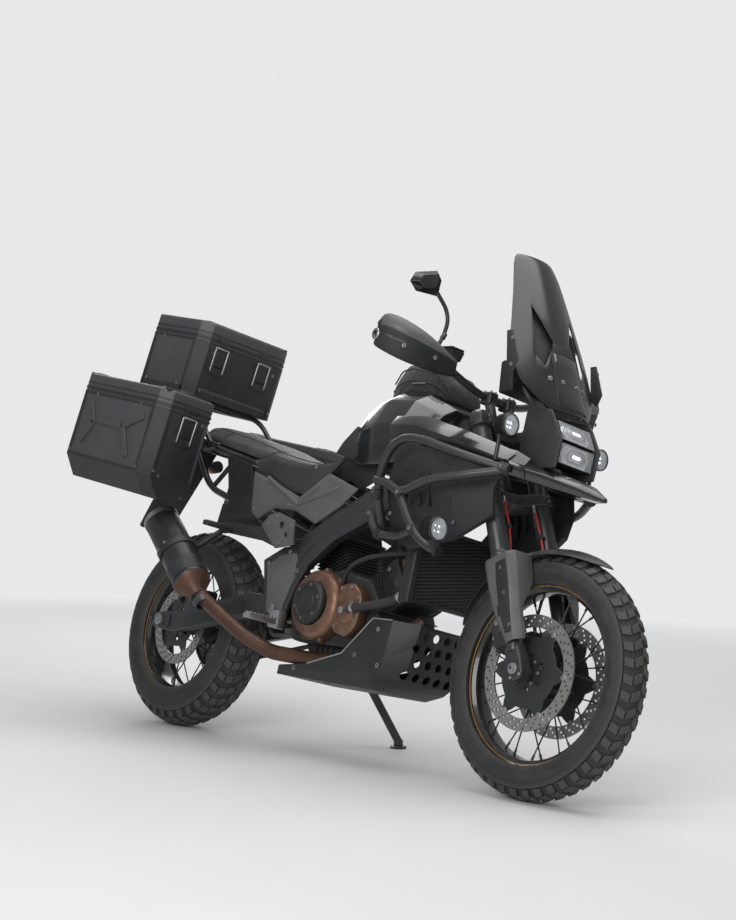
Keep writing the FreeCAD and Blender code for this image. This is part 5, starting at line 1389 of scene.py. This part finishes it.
def make_case(name, home, body, length, width, height, lid, wedge, up, square):
    """Shell and lid with their posts, raised ribs, rivets, latches and lid caps.

    The outer wall steps in by wedge below up, and a square case has all its corners cut.
    """
    inner = CHAMFER if square else 0

    def level(z, out, low):
        """The case's outline at z, inset by low."""
        cut_low = inner + low * 0.4
        if square:
            ring = [(low, cut_low), (cut_low, low), (length - inner - low * 0.4, low),
                    (length - low, cut_low)]
        else:
            ring = [(low, low), (length - low, low)]
        ring += [(length - low, out - CHAMFER), (length - CHAMFER, out - low), (CHAMFER, out - low),
                 (low, out - CHAMFER)]
        return [(x, y, z) for x, y in ring]

    def closed_form(part, low, high, inset, taper=0):
        rows = [level(low, width - wedge, inset)] if low < up else []
        rows += [level(max(low, up), width, inset), level(high - taper, width, inset)]
        if taper:
            rows.append(level(high, width - taper, inset + taper))
        return capped(skin(part, rows, True))

    def put(piece, finish, nodes=(), angle=35, rides="chassis"):
        piece = moved(piece, home)
        if home.determinant() < 0:
            piece = outwards(piece)
        done(piece, rides, finish, nodes, angle)
    def raised(part, low, high, wall=3.4):
        """A thin band round the case."""
        return walled(outwards(skin(part, [level(low, width, 0), level(high, width, 0)], True)), wall, 0)

    rim, top = height + 0.4, height + 0.4 + lid
    shell = cut(closed_form(name + "_shell", 0, height, 0), closed_form("hollow", 3, height + 5, 2.5))
    shell = rounded(shell, 1.6, 2, 20)
    cover = cut(closed_form(name + "_cover", rim, top, 0, 5), closed_form("hollow", rim - 5, top - 6, 2.5))
    cover = rounded(cover, 1.6, 2, 20)
    ribs = []
    for x0, z0, x1, z1 in [] if square else RIBS:
        way = Vector((x1 - x0, 0, z1 - z0)).normalized()
        half = Vector((way.z, 0, -way.x)) * 11
        start, end = Vector((x0, width - 1, z0)) - way * 7, Vector((x1, width - 1, z1)) + way * 7
        rib = plate(name + "_rib", [start + half, end + half, end - half, start - half], (0, 6.5, 0), 5, 4)
        ribs.append(outwards(rib))
    put(joined(shell, *ribs), "case_black", [name])
    put(cover, "case_black", [name + "_lid"], 35, body)

    trim = []
    corners = [(length - CHAMFER, width, 1, 1), (CHAMFER, width, -1, 1)]
    if square:
        corners += [(length - CHAMFER, 0, 1, -1), (CHAMFER, 0, -1, -1)]
    for x, y, sx, sy in corners:
        section = [(x - sx * 14, y - sy), (x - sx * 14, y + sy * 1.4), (x + sx * 0.6, y + sy * 1.4),
                   (x + sx * (CHAMFER + 1.4), y - sy * (CHAMFER - 0.6)),
                   (x + sx * (CHAMFER + 1.4), y - sy * (CHAMFER + 14)),
                   (x + sx * (CHAMFER - 1), y - sy * (CHAMFER + 14)),
                   (x + sx * (CHAMFER - 1), y - sy * CHAMFER), (x, y - sy)]
        rows = [[(a, b, z) for a, b in section] for z in (max(up, 0) + 4, height - 8)]
        trim.append(rounded(capped(skin(name + "_posts", rows, True)), 0.5))
    rows = [level(0.5, width - wedge, 0)]
    if wedge:
        rows.append(level(up - 3, width, 0))
    rows.append(level(max(up, 14) + 6, width, 0))
    trim.append(walled(outwards(skin("foot_cover", rows, True)), 2.8, 0))
    # a dark plate over the front face: painted shade on that face
    trim.append(box("front_panel", (length - 1, length + 1.3), (inner + 12, width - CHAMFER - 14),
                    (30, height - 9), 0.8))
    trim.append(raised("lip", height - 10, height - 4))
    put(joined(*trim), "case_trim")

    trim = [raised(name + "_lid_lip", rim + 3, rim + 11), raised("lid_crease", rim + 22, rim + 26, 2.2)]
    ends = ((16, 84), (length - 84, length - 16)) if square else ((10, 92), (length - 92, length - 10))
    for low, high in ends:
        cap = box("lid_cap", (low, high), (12 + inner * 0.3, width - 14), (top - 8, top + 3.5), 3, 3)
        slot = box("slot", (low + 24, high - 24), (34, width - 36), (top - 1, top + 8), 4)
        trim.append(cut(cap, slot))
    put(joined(*trim), "case_trim", (), 35, body)
    top_plate = box(name + "_top_plate", (ends[0][1] + 8, ends[1][0] - 8), (24, width - 26),
                    (top - 4, top + 1.4), 1.2)
    put(top_plate, "alloy", (), 35, body)

    latches, levers, hooks = [], [], []
    for y in (70, 254) if square else (width * 0.3 + 2,):
        for rail in (y - 8, y + 44):
            latches.append(bar(name + "_latch_rail", (length + 4, rail, height - 96),
                               (length + 7, rail, height - 14), 3.2, 12))
        latches.append(bar("latch_rod", (length + 7, y - 8, height - 16), (length + 7, y + 44, height - 16),
                           3, 12))
        levers.append(box(name + "_latch_lever", (length - 1, length + 7), (y - 3, y + 39),
                          (height - 78, height - 9), 2.5, 3))
        levers.append(box("latch_foot", (length - 1, length + 4), (y - 16, y + 52),
                          (height - 108, height - 82), 1.5))
        hooks.append(box(name + "_latch_hook", (length - 3, length + 5), (y - 6, y + 42),
                         (rim + 4, rim + 24)))
    put(joined(*latches), "alloy", (), 40)
    put(joined(*levers), "case_trim")
    put(joined(*hooks), "alloy_dark", (), 35, body)
    if square:
        wall = [(96, 176), (60, 22), (250, 22)]
        rivets = [((x, 0, z), (0, -1, 0)) for x, z in wall]
        rivets += [((length, y, z), (1, 0, 0)) for y, z in ((60, 150), (322, 150), (46, 20), (350, 20))]
        rivets += [((x, width, z), ACROSS) for x, z in wall]
    else:
        rivets = [((x, width, z), ACROSS) for x, z in ((112, 276), (376, 274), (44, 78), (448, 78))]
        rivets += [((length, y, z), (1, 0, 0)) for y, z in ((22, 24), (128, 70), (150, 82), (22, 262))]
        rivets += [((0, y, z), (-1, 0, 0)) for y, z in ((22, 24), (22, 262), (150, 262))]
    put(bolts(name + "_rivets", rivets, 5, 3.2), "screw_steel")
    rivets = [(((low + high) / 2, y, top), (0, 0, 1)) for low, high in ends
              for y in (22 + inner * 0.4, width - 24)]
    put(bolts(name + "_lid_rivets", rivets, 5, 5), "screw_steel", (), 35, body)


LEFT_HOME, RIGHT_HOME = case_home(-340, 240, 716), case_home(-340, 262, 736, -1)
TOP_HOME = case_home(-402, -190, 1118)
# Length, width and height of the shell, height of the lid, wedge, and the height where the wedge ends
SIDE_CASE, TOP_CASE = (492, 190, 286, 56, 48, 68), (320, 380, 190, 60, 0, -1)
make_case("left_case", LEFT_HOME, "left_lid", *SIDE_CASE, False)
make_case("right_case", RIGHT_HOME, "right_lid", *SIDE_CASE, False)
make_case("top_case", TOP_HOME, "top_lid", *TOP_CASE, True)

racks = []
for home, y, z in ((LEFT_HOME, 230, 716), (RIGHT_HOME, 252, 736)):
    loop = tube("luggage_rack", [(90, -9.2, 60), (90, -9.2, 262), (420, -9.2, 262), (420, -9.2, 60)], 8.6, 38,
                5, True)
    stays = [tube("rack_stay", [(20, y, z + 213), (20, 180, 930), (20, 130, 911)], 7, 18, 5),
             tube("rack_stay", [(-120, y, z + 232), (-120, 180, 945), (-120, 126, 938)], 7, 18, 5)]
    if home.determinant() < 0:
        stays = [moved(stay, Matrix.Scale(-1, 4, ACROSS)) for stay in stays]
    racks += [outwards(piece) for piece in [moved(loop, home)] + stays]


def under_top(x):
    """Height of the rails' middle line under the tilted top case."""
    return 1118 - (x + 402) * math.tan(math.radians(CASE_TILT)) - 9.3


rail = tube("top_rail", [(60, 138.6, 905), (20, 152, 950), (-40, 150, 1015), (-100, 140, under_top(-100)),
                         (-370, 110, under_top(-370))], 8.8, 45, 5)
racks.append(both_sides(rail))
for x in (-360, -240, -120):
    racks.append(bar("rack_bar", (x, -118, under_top(x)), (x, 118, under_top(x)), 6, 16))
on_body(joined(*racks), "tube_black", ["luggage_racks"], 40)
base = moved(box("top_base", (24, 296), (70, 310), (-7, -0.6), 2), TOP_HOME)
on_body(base, "plate_black")
clamps = [box("rack_clamp", (x - 12, x + 12), (130, 150), (899, 921), 4) for x in (20, 60)]
on_both(joined(*clamps), "alloy_dark")


# Handlebar and controls

BAR = [(1180, 46, 1085), (1178, 80, 1088), (1166, 150, 1112), (1140, 258, 1160), (1112, 410, 1158)]
GRIP = (Vector((1113.5, 402, 1158.2)) - Vector((1129, 300, 1159.5))).normalized()
middle = bar("bar_middle", (1180, -50, 1085), (1180, 50, 1085), 13, 24)
sweep = tube("handlebar_sweep", BAR, 11.1, 34, 5)
steering_both(joined(sweep, moved(bar("riser", (34, 38, 20), (34, 38, 106), 14.5, 28, 2), FORK)),
              "tube_black", ["handlebar"], 40)
on_steering(middle, "tube_black")
steering_both(box("bar_clamp", (1161, 1203), (21, 55), (1066, 1103), 6, 3), "alloy_dark")
steering_both(bolts("clamp_screws", [((x, y, 1103), (0, 0, 1)) for y in (30, 47) for x in (1170, 1194)],
                    4, 4), "screw_steel")
profile = [(0, 11.5), (0, 18), (4, 18), (5, 15)]
for k in range(17):
    profile += [(8 + k * 5.3, 15.2), (9 + k * 5.3, 16.2), (11.5 + k * 5.3, 16.2), (12.5 + k * 5.3, 15.2)]
profile += [(101, 15), (102, 11.5)]
steering_both(lathe("grips", profile, (1129, 300, 1159.5), GRIP, 40), "soft_rubber", (), 40)
steering_both(lathe("bar_weights", [(0, 9), (0, 16), (3, 17), (14, 17), (17, 13), (17, 9)],
                    (1112.5, 406, 1158), GRIP, 40), "alloy")
switch = joined(box("switch_blocks", (1113, 1159), (263, 305), (1141, 1185), 8, 3),
                box("switch_top", (1116, 1140), (268, 300), (1181, 1189), 3),
                box("switch_rear", (1106, 1116), (270, 298), (1150, 1176), 3))
steering_both(switch, "grained_black")
steering_both(joined(box("switch_buttons", (1103, 1108), (273, 284), (1164, 1172), 1.5),
                     box("button", (1103, 1108), (286, 296), (1153, 1161), 1.5)), "red_hose")
lever = plate("levers", [(1168, 252, 1158), (1178, 270, 1156), (1177, 330, 1150), (1166, 396, 1146),
                         (1154, 408, 1145), (1158, 396, 1146), (1166, 330, 1150), (1162, 270, 1156),
                         (1152, 258, 1158)], (0, 0, -10), 2.5, 3)
steering_both(lever, "alloy_dark")
steering_both(joined(box("lever_perch", (1134, 1176), (236, 262), (1142, 1164), 5, 3),
                     bar("perch_clamp", (1142, 244, 1159), (1138, 262, 1161), 17, 28, 3)), "grained_black")
tub = capped(skin("reservoir", [[(1164, -236, 1146), (1196, -230, 1146), (1200, -192, 1146),
                                 (1168, -196, 1146)],
                                [(1160, -240, 1176), (1200, -234, 1176), (1206, -186, 1176),
                                 (1164, -190, 1176)]], True))
on_steering(joined(rounded(tub, 4, 3, 30),
                   box("reservoir_lid", (1160, 1204), (-238, -188), (1176, 1182), 2.5)),
            "grained_black")

# Handguard stations: x, y, and the heights of the lower edge, the upper edge and the fullest line
HANDGUARD = [(1106, 433, 1134, 1190, 1166), (1118, 437, 1124, 1200, 1172), (1140, 436, 1115, 1207, 1172),
             (1192, 408, 1093, 1191, 1154), (1212, 352, 1089, 1179, 1142), (1220, 306, 1086, 1167, 1134),
             (1206, 214, 1099, 1149, 1128)]
rows = [[(x - 8, y - 3, high), (x, y, high - 4), (x + 5, y + 3, full + 10), (x + 6, y + 4, full),
         (x + 1, y, full - 12), (x, y, low + 4), (x - 8, y - 3, low)] for x, y, low, high, full in HANDGUARD]
steering_both(sheet("handguard_shells", rows, 4, -1, 1.5, 40, 1), "grained_black", ["handguards"], 40)
rows = [[(x - 12, y - 4, high + lift), (x - 2, y + 2, high + lift - 3), (x + 9, y + 7, high - 6),
         (x + 11, y + 8, full + 8), (x + 4, y + 3, full + 2)]
        for (x, y, low, high, full), lift in zip(HANDGUARD[1:], (6, 18, 17, 12, 8, 2))]
steering_both(sheet("handguard_brows", rows, 3, 1, 1.2, 40, 1), "cover_grey", (), 40)
ring = lathe("end_rings", [(-2, 9), (-2, 15), (0, 17), (16, 17), (18, 15), (18, 9)], (1111, 425, 1158), GRIP,
             40)
steering_both(ring, "alloy")
steering_both(tube("guard_bar", [(1112, 421, 1158), (1112, 432, 1157), (1150, 432, 1152), (1194, 398, 1140),
                                 (1206, 300, 1126), (1186, 216, 1124), (1164, 170, 1118)], 7, 18, 5),
              "alloy_dark")
steering_both(bolts("guard_screws", [((1196, 406, 1128), (1, 0.6, 0)), ((1222, 310, 1122), (1, 0.3, 0)),
                                     ((1100, 437, 1150), (0, 1, 0))], 6, 4), "screw_steel")

# Mirror outlines (y, z) seen from behind, and their middle
REAR_RING = [(248, 1326), (245, 1375), (268, 1397), (347, 1367), (359, 1337), (330, 1316)]
FRONT_RING = [(264, 1333), (262, 1368), (278, 1384), (335, 1362), (343, 1341), (322, 1326)]
MIRROR_Y, MIRROR_Z = 300, 1352


def ring_of(points, x, scale):
    """A mirror's outline at x, scaled about its middle."""
    return [(x, MIRROR_Y + (y - MIRROR_Y) * scale, MIRROR_Z + (z - MIRROR_Z) * scale) for y, z in points]


SHELL = [(REAR_RING, 1108, 0.92), (REAR_RING, 1108.5, 0.98), (REAR_RING, 1112, 1), (FRONT_RING, 1128, 1.06),
         (FRONT_RING, 1134, 0.95), (FRONT_RING, 1136, 0.7)]
steering_both(hull("mirror_shells", [ring_of(*ring) for ring in SHELL], 3, 3, 15), "gloss_black", ["mirrors"],
              40)
glass = skin("mirror_glasses", [ring_of(REAR_RING, 1107.2, 0.9), ring_of(REAR_RING, 1106.6, 0.3)], True)
steering_both(capped(glass), "mirror_glass")
stalk = tube("mirror_stalks", [(1145, 246, 1167.6), (1142, 218, 1225), (1136, 212, 1284), (1122, 270, 1340)],
             6, 40, 5)
steering_both(joined(stalk, bar("stalk_nut", (1145, 246, 1164), (1144.5, 243, 1180), 10, 6),
                     bar("stalk_nut", (1143, 226, 1208), (1142, 219, 1224), 8.5, 6),
                     bar("stalk_ball", (1124, 264, 1334), (1120, 276, 1346), 11, 24, 4)), "tube_black", (),
              40)

# Crash bars with their clamps
CRASH = [[(1010, 172, 640), (1026, 246, 756), (1062, 276, 850), (1110, 282, 902), (1190, 280, 904),
          (1330, 232, 870), (1440, 176, 848)],
         [(1030, 262, 786), (1100, 276, 776), (1160, 280, 745), (1250, 272, 792), (1360, 232, 818),
          (1440, 176, 846)],
         [(1160, 280, 745), (1214, 270, 661), (1262, 256, 614), (1318, 246, 600)],
         [(935, 168, 704), (981, 196, 664), (1031, 210, 640), (1149, 238, 632), (1225, 266, 648)]]
rails = [tube("crash_rail", points, 12.6, 45, 5) for points in CRASH]
rails.append(bar("stub", (935, 176, 704), (935, 143.1, 704), 10, 20))
on_both(joined(*rails), "tube_black", ["crash_bars"], 40)
collars = [bar("bar_collars", a, b, 17, 28, 2) for a, b in (
    ((1152, 279, 751), (1174, 279, 738)), ((1422, 186, 851), (1446, 173, 846)),
                                                            ((1218, 263, 646), (1236, 270, 652)),
    ((1022, 236, 740), (1030, 252, 766)), ((1306, 248, 602), (1318, 246, 600)),
                                                            ((1016, 205, 643), (1042, 212, 639)))]
on_both(joined(*collars), "plate_black")
COLLAR_SCREWS = [(1163, 296, 745), (1434, 196, 849), (1227, 284, 649), (1026, 261, 753), (935, 182, 704)]
on_both(bolts("collar_screws", [(place, ACROSS) for place in COLLAR_SCREWS], 6, 5), "screw_steel")

# Frame, subframe and swingarm. Spar stations: x, y and z of the middle, width, height
SPAR = [(1196, 40, 900, 44, 100), (1060, 104, 838, 40, 104), (780, 146, 668, 34, 96),
        (640, 150, 560, 30, 130)]
beam = [[(x, y + w / 2, z - h / 2), (x, y + w / 2 + 2, z - h * 0.16), (x, y + w / 2 - 3, z),
         (x, y + w / 2 + 2, z + h * 0.16), (x, y + w / 2, z + h / 2), (x, y - w / 2, z + h / 2),
         (x, y - w / 2, z - h / 2)] for x, y, z, w, h in SPAR]


on_both(hull("frame_spars", beam, 5, 3, 30), "frame_paint", ["main_frame"])
PIVOT_PLATE = [(565, 590), (650, 600), (690, 540), (655, 470), (632, 400), (636, 356), (596, 346), (535, 372),
               (505, 470), (480, 545)]
on_both(side_plate("pivot_plates", PIVOT_PLATE, 148, 15, 3, 3), "frame_paint")
inner_plate = [(572 + (x - 572) * 0.74, 470 + (z - 470) * 0.8) for x, z in PIVOT_PLATE]
on_both(side_plate("pivot_covers", inner_plate, 161, 4, 2, 2), "cover_grey")
on_body(joined(bar("head_tube", FORK @ Vector((0, 0, -160)), FORK @ Vector((0, 0, -5)), 27, 40, 3),
               box("head_gusset", (1150, 1204), (-44, 44), (869, 931), 6)), "frame_paint")
on_body(joined(bar("pivot_shaft", (572, -166, 402), (572, 166, 402), 10, 24),
               bar("pivot_nut", (572, -171, 402), (572, -163, 402), 17, 6, 1),
               bar("pivot_nut", (572, 163, 402), (572, 171, 402), 17, 6, 1)), "screw_steel")
on_both(side_bolts("plate_screws", 164, [(600, 576), (510, 534), (620, 372), (650, 520)], 7), "screw_steel")

RAIL = [(700, 117, 735), (420, 117, 830), (100, 117, 895), (-150, 112, 945)]
STRUT = [(600, 136, 592), (350, 125, 690), (60, 119, 775), (-60, 115, 915)]
HANGER = [(250, 620), (270, 650), (520, 640), (560, 610), (540, 585), (480, 600)]
tubes = [tube("subframe_rail", RAIL, 12.6, 60, 5), tube("subframe_strut", STRUT, 10.6, 50, 5),
         bar("rail_tie", (330, 122, 700), (400, 118, 832), 8, 16),
         bar("rail_tie", (80, 119, 772), (180, 118, 876), 8, 16)]
cross = [bar("cross_tube", (x, 0, z), (x, 115, z), 9.6, 16) for x, z in ((420, 826), (100, 892), (-40, 918))]
on_both(joined(*tubes, *cross), "tube_black", ["subframe"], 40)

ARM = [(-48, 296), (-48, 346), (60, 356), (420, 446), (600, 436), (604, 372), (420, 362), (60, 288)]
on_both(side_plate("arm_slabs", ARM, 112, 29, 6, 3), "frame_paint", ["swingarm"])
hollow = [(110, 308), (110, 346), (400, 420), (400, 380)]
on_both(side_plate("arm_recess", hollow, 139, 4.5, 2, 2), "plate_black")
on_body(joined(bar("arm_pivot", (572, -141, 402), (572, 141, 402), 27, 40, 2),
               box("arm_bridge", (431, 519), (-114, 114), (379, 435), 9, 3)), "frame_paint")
on_both(joined(box("axle_blocks", (-46, 40), (140, 147), (300, 342), 3),
               bar("adjuster", (-50, 144, REAR_R), (-74, 144, REAR_R), 4, 12)), "alloy_dark")
on_body(joined(bar("rear_axle", (0, -158, REAR_R), (0, 158, REAR_R), 12.4, 32),
               bar("axle_nut", (0, -162, REAR_R), (0, -148, REAR_R), 21, 6, 1.5),
               bar("axle_nut", (0, 148, REAR_R), (0, 162, REAR_R), 21, 6, 1.5)), "screw_steel")
on_body(joined(box("rear_caliper", (71, 149), (-103.5, -53), (393, 439), 8, 3),
               box("caliper_stay", (60, 150), (-114.5, -98), (351, 419), 5, 2)), "alloy_dark")
on_body(side_bolts("caliper_pins", -104, [(92, 416), (128, 416)], 6, 4, -1), "screw_steel")

SHOCK = Matrix.Translation((452, 0, 440)) @ Matrix.Rotation(math.radians(12), 4, "Y")
damper = [(0, 2), (0, 17), (22, 17), (24, 30), (30, 33), (34, 33), (34, 13), (188, 13), (190, 33), (196, 33),
          (200, 22), (248, 20), (250, 2)]
on_body(moved(lathe("shock_body", damper, (0, 0, 0), (0, 0, 1), 40), SHOCK), "alloy_dark", ["shock"], 40)
coil = [(28 * math.cos(k * 0.7), 28 * math.sin(k * 0.7), 38 + k * 2.42) for k in range(62)]
on_body(moved(tube("shock_spring", coil, 5, 0, 3), SHOCK), "plate_black", (), 60)

# Chain, laid round the circles of the two sprockets
SPROCKET, DRIVE = (0, REAR_R), (650, 410)
BIG, SMALL, PITCH = 109.5, 42, 15.875
gap = math.hypot(DRIVE[0] - SPROCKET[0], DRIVE[1] - SPROCKET[1])
tilt = math.atan2(DRIVE[1] - SPROCKET[1], DRIVE[0] - SPROCKET[0])
swing = math.acos((BIG - SMALL) / gap)
path = [(SPROCKET, BIG, tilt + swing + (2 * math.pi - 2 * swing) * k / 199) for k in range(200)]
path += [(DRIVE, SMALL, tilt - swing + 2 * swing * k / 59) for k in range(60)]
loop = [Vector((x + radius * math.cos(a), 92, z + radius * math.sin(a))) for (x, z), radius, a in path]
loop.append(loop[0])
lengths = [0]
for a, b in zip(loop, loop[1:]):
    lengths.append(lengths[-1] + (b - a).length)
count = int(lengths[-1] / PITCH / 2) * 2
link = [box("link_plate", (-10.4, 10.4), y, (-5.4, 5.4), 1, 1) for y in ((-7.6, -5.8), (5.8, 7.6))]
link += [bar("link_roller", (x, -5.8, 0), (x, 5.8, 0), 4.6, 10, 0.2) for x in (-5.9, 5.9)]
link = joined(*link)
places = []
k = 0
for n in range(count // 2):
    along = lengths[-1] * n * 2 / count
    while lengths[k + 1] < along:
        k += 1
    point = loop[k].lerp(loop[k + 1], (along - lengths[k]) / max(lengths[k + 1] - lengths[k], 0.01))
    way = (loop[k + 1] - loop[k]).normalized()
    turn = Matrix.Rotation(-math.atan2(way.z, way.x), 4, "Y")
    places.append(Matrix.Translation(point) @ turn)
    places.append(Matrix.Translation(point + way * PITCH) @ turn @ Matrix.Scale(0.93, 4, ACROSS))
on_body(copies(link, places), "alloy_dark", ["chain"], 30)

# Footrests, heel guards, controls and the stand
treads = [box("tread", (612, 644), (196 + k * 15, 203 + k * 15), (366, 371), 1) for k in range(7)]
pegs = joined(box("foot_pegs", (613, 643), (192, 301), (351, 366), 3),
              box("peg_clevis", (600, 646), (163.3, 196), (341, 395), 5), *treads)
on_both(pegs, "alloy", ["footrests"])
HEEL = [(470, 646), (498, 679), (543, 690), (622, 669), (638, 593), (556, 579)]
holes = [bar("hole", (x, 180, z), (x, 200, z), radius, 28, 0.1) for x, z,
         radius in ((566, 652, 11), (596, 622, 8))]
heel = cut(side_plate("heel_guards", HEEL, 186, 7, 0), *holes)
on_both(rounded(outwards(heel), 1.6, 2, 30), "cover_grey")
on_both(joined(box("heel_stays", (541, 599), (163.3, 187), (592, 638), 4),
               side_plate("peg_hangers", HANGER, 176, 10, 2.5, 3)), "frame_paint")
on_both(box("rear_pegs", (301, 329), (181, 289), (619, 635), 4, 3), "soft_rubber")
on_both(side_bolts("heel_screws", 193, [(500, 652), (540, 676), (614, 650), (570, 594)], 6), "screw_steel")
on_body(joined(tube("brake_pedal", [(600, -176, 340), (640, -200, 318), (730, -214, 322), (776, -236, 330)],
                    6, 20, 4),
               box("pedal_pad", (764, 792), (-258, -222), (326, 340), 3)), "alloy_dark")
on_body(joined(tube("gear_pedal", [(612, 178, 338), (660, 200, 326), (760, 208, 334)], 6, 20, 4),
               bar("gear_toe", (760, 204, 334), (762, 246, 336), 9, 20, 2)), "alloy_dark")
STAND_AXIS = Vector((0, math.cos(math.radians(34)), math.sin(math.radians(34))))
pivot = Vector((622, 150, 300))
foot = BIKE @ Vector((712, 326, 72))
foot = BIKE.inverted() @ Vector((foot.x, foot.y, 0))
up = (BIKE.to_3x3().inverted() @ Vector((0, 0, 1))).normalized()
root, ankle = pivot + STAND_AXIS * 14, foot + up * 20
leg = joined(tube("stand_leg", [root, root.lerp(ankle, 0.5), ankle], 12.6, 10, 5),
             bar("stand_ear", pivot + STAND_AXIS * 2, pivot + STAND_AXIS * 26, 17.6, 32, 2))
pad = joined(bar("stand_pad", foot, foot + up * 7.5, 25.6, 40, 2),
             bar("stand_neck", foot + up * 4, foot + up * 26, 14.4, 28, 1.5))
done(joined(leg, pad), "side_stand", "tube_black", ["side_stand"], 40)
done(bar("stand_bolt", pivot + STAND_AXIS * 24, pivot + STAND_AXIS * 31, 10, 6, 1), "side_stand",
     "screw_steel")


# Studio: floor, soft lights and the camera

PALE, SKY = (0.80, 0.81, 0.82, 1), (0.80, 0.82, 0.84, 1)
SKY_STRENGTH = 0.42

def make_floor():
    clear()
    bpy.ops.mesh.primitive_circle_add(vertices=96, radius=40, fill_type="NGON")
    floor = added("studio_floor")
    recipe = Recipe("studio_floor")
    mottle = recipe.noise(1.5, 5)
    tone = recipe.mix(mottle, (0.68, 0.675, 0.665), (0.74, 0.735, 0.725))
    surface = recipe.surface(Base_Color=tone, Roughness=mottle * 0.1 + 0.75)
    # far from the machine the camera sees the floor as pale as the sky
    reach = recipe.node("VectorMath", {"operation": "LENGTH"}, {0: recipe.place}, "Value")
    share = reach.between(1.8, 6.5) * recipe.node("LightPath", output="Is Camera Ray")
    pale = recipe.node("Emission", None, {"Color": PALE})
    recipe.shown(recipe.node("MixShader", None, {0: share, 1: surface, 2: pale}))
    floor.data.materials.append(recipe.owner)


def make_world():
    """Pale all round, a little weaker where it only lights the machine."""
    world = bpy.data.worlds.new("studio")
    recipe = Recipe("studio", world)
    seen = recipe.node("LightPath", output="Is Camera Ray")
    seen = seen.sums("MAXIMUM", recipe.node("LightPath", output="Is Transmission Ray"))
    sky = recipe.node("Background", None, {"Color": SKY, "Strength": SKY_STRENGTH})
    backdrop = recipe.node("Background", None, {"Color": PALE, "Strength": 1})
    recipe.shown(recipe.node("MixShader", None, {0: seen, 1: sky, 2: backdrop}), "OutputWorld")
    bpy.context.scene.world = world


def make_lights():
    """A wide soft lamp above, one from the camera's left and a low fill behind."""
    for name, place, size, power in (("above", (0.6, 0.2, 4.2), 4.0, 125),
                                     ("side", (2.2, -4.2, 2.4), 2.5, 105),
                                     ("rear", (-3.8, 2.4, 2.6), 2.5, 60)):
        data = bpy.data.lights.new(name, "AREA")
        data.size = size
        data.energy = power
        lamp = bpy.data.objects.new(name, data)
        lamp.location = place
        lamp.rotation_mode = "QUATERNION"
        lamp.rotation_quaternion = (Vector((0, 0, 0.6)) - Vector(place)).to_track_quat("-Z", "Y")
        bpy.context.scene.collection.objects.link(lamp)


# The photo's camera: its place from the rear tyre's foot in millimetres, its turn in degrees
CAMERA_FROM_FOOT = (4779.7, -3435.1, 813.7)
CAMERA_AZIMUTH, CAMERA_DIP, CAMERA_ROLL = 48.52, -0.74, 2.33
FOCAL_PIXELS, FRAME_HEIGHT, FILM = 1790.5, 920, 36


def make_camera():
    azimuth, dip, roll = (math.radians(angle) for angle in (CAMERA_AZIMUTH, CAMERA_DIP, CAMERA_ROLL))
    ahead = Vector((-math.sin(azimuth) * math.cos(dip), math.cos(azimuth) * math.cos(dip), -math.sin(dip)))
    right = Vector((math.cos(azimuth), math.sin(azimuth), 0))
    above = right.cross(ahead)
    across = right * math.cos(roll) + above * math.sin(roll)
    above = above * math.cos(roll) - right * math.sin(roll)
    data = bpy.data.cameras.new("camera")
    data.lens = FOCAL_PIXELS / FRAME_HEIGHT * FILM
    data.sensor_width = FILM
    data.clip_end = 200
    camera = bpy.data.objects.new("camera", data)
    turn = Matrix((across, above, -ahead)).transposed().to_4x4()
    turn.translation = Vector(CAMERA_FROM_FOOT) * MM + GROUND
    camera.matrix_world = turn
    bpy.context.scene.collection.objects.link(camera)
    bpy.context.scene.camera = camera


make_floor()
make_world()
make_lights()
make_camera()
scene = bpy.context.scene
scene.view_settings.view_transform = "Standard"
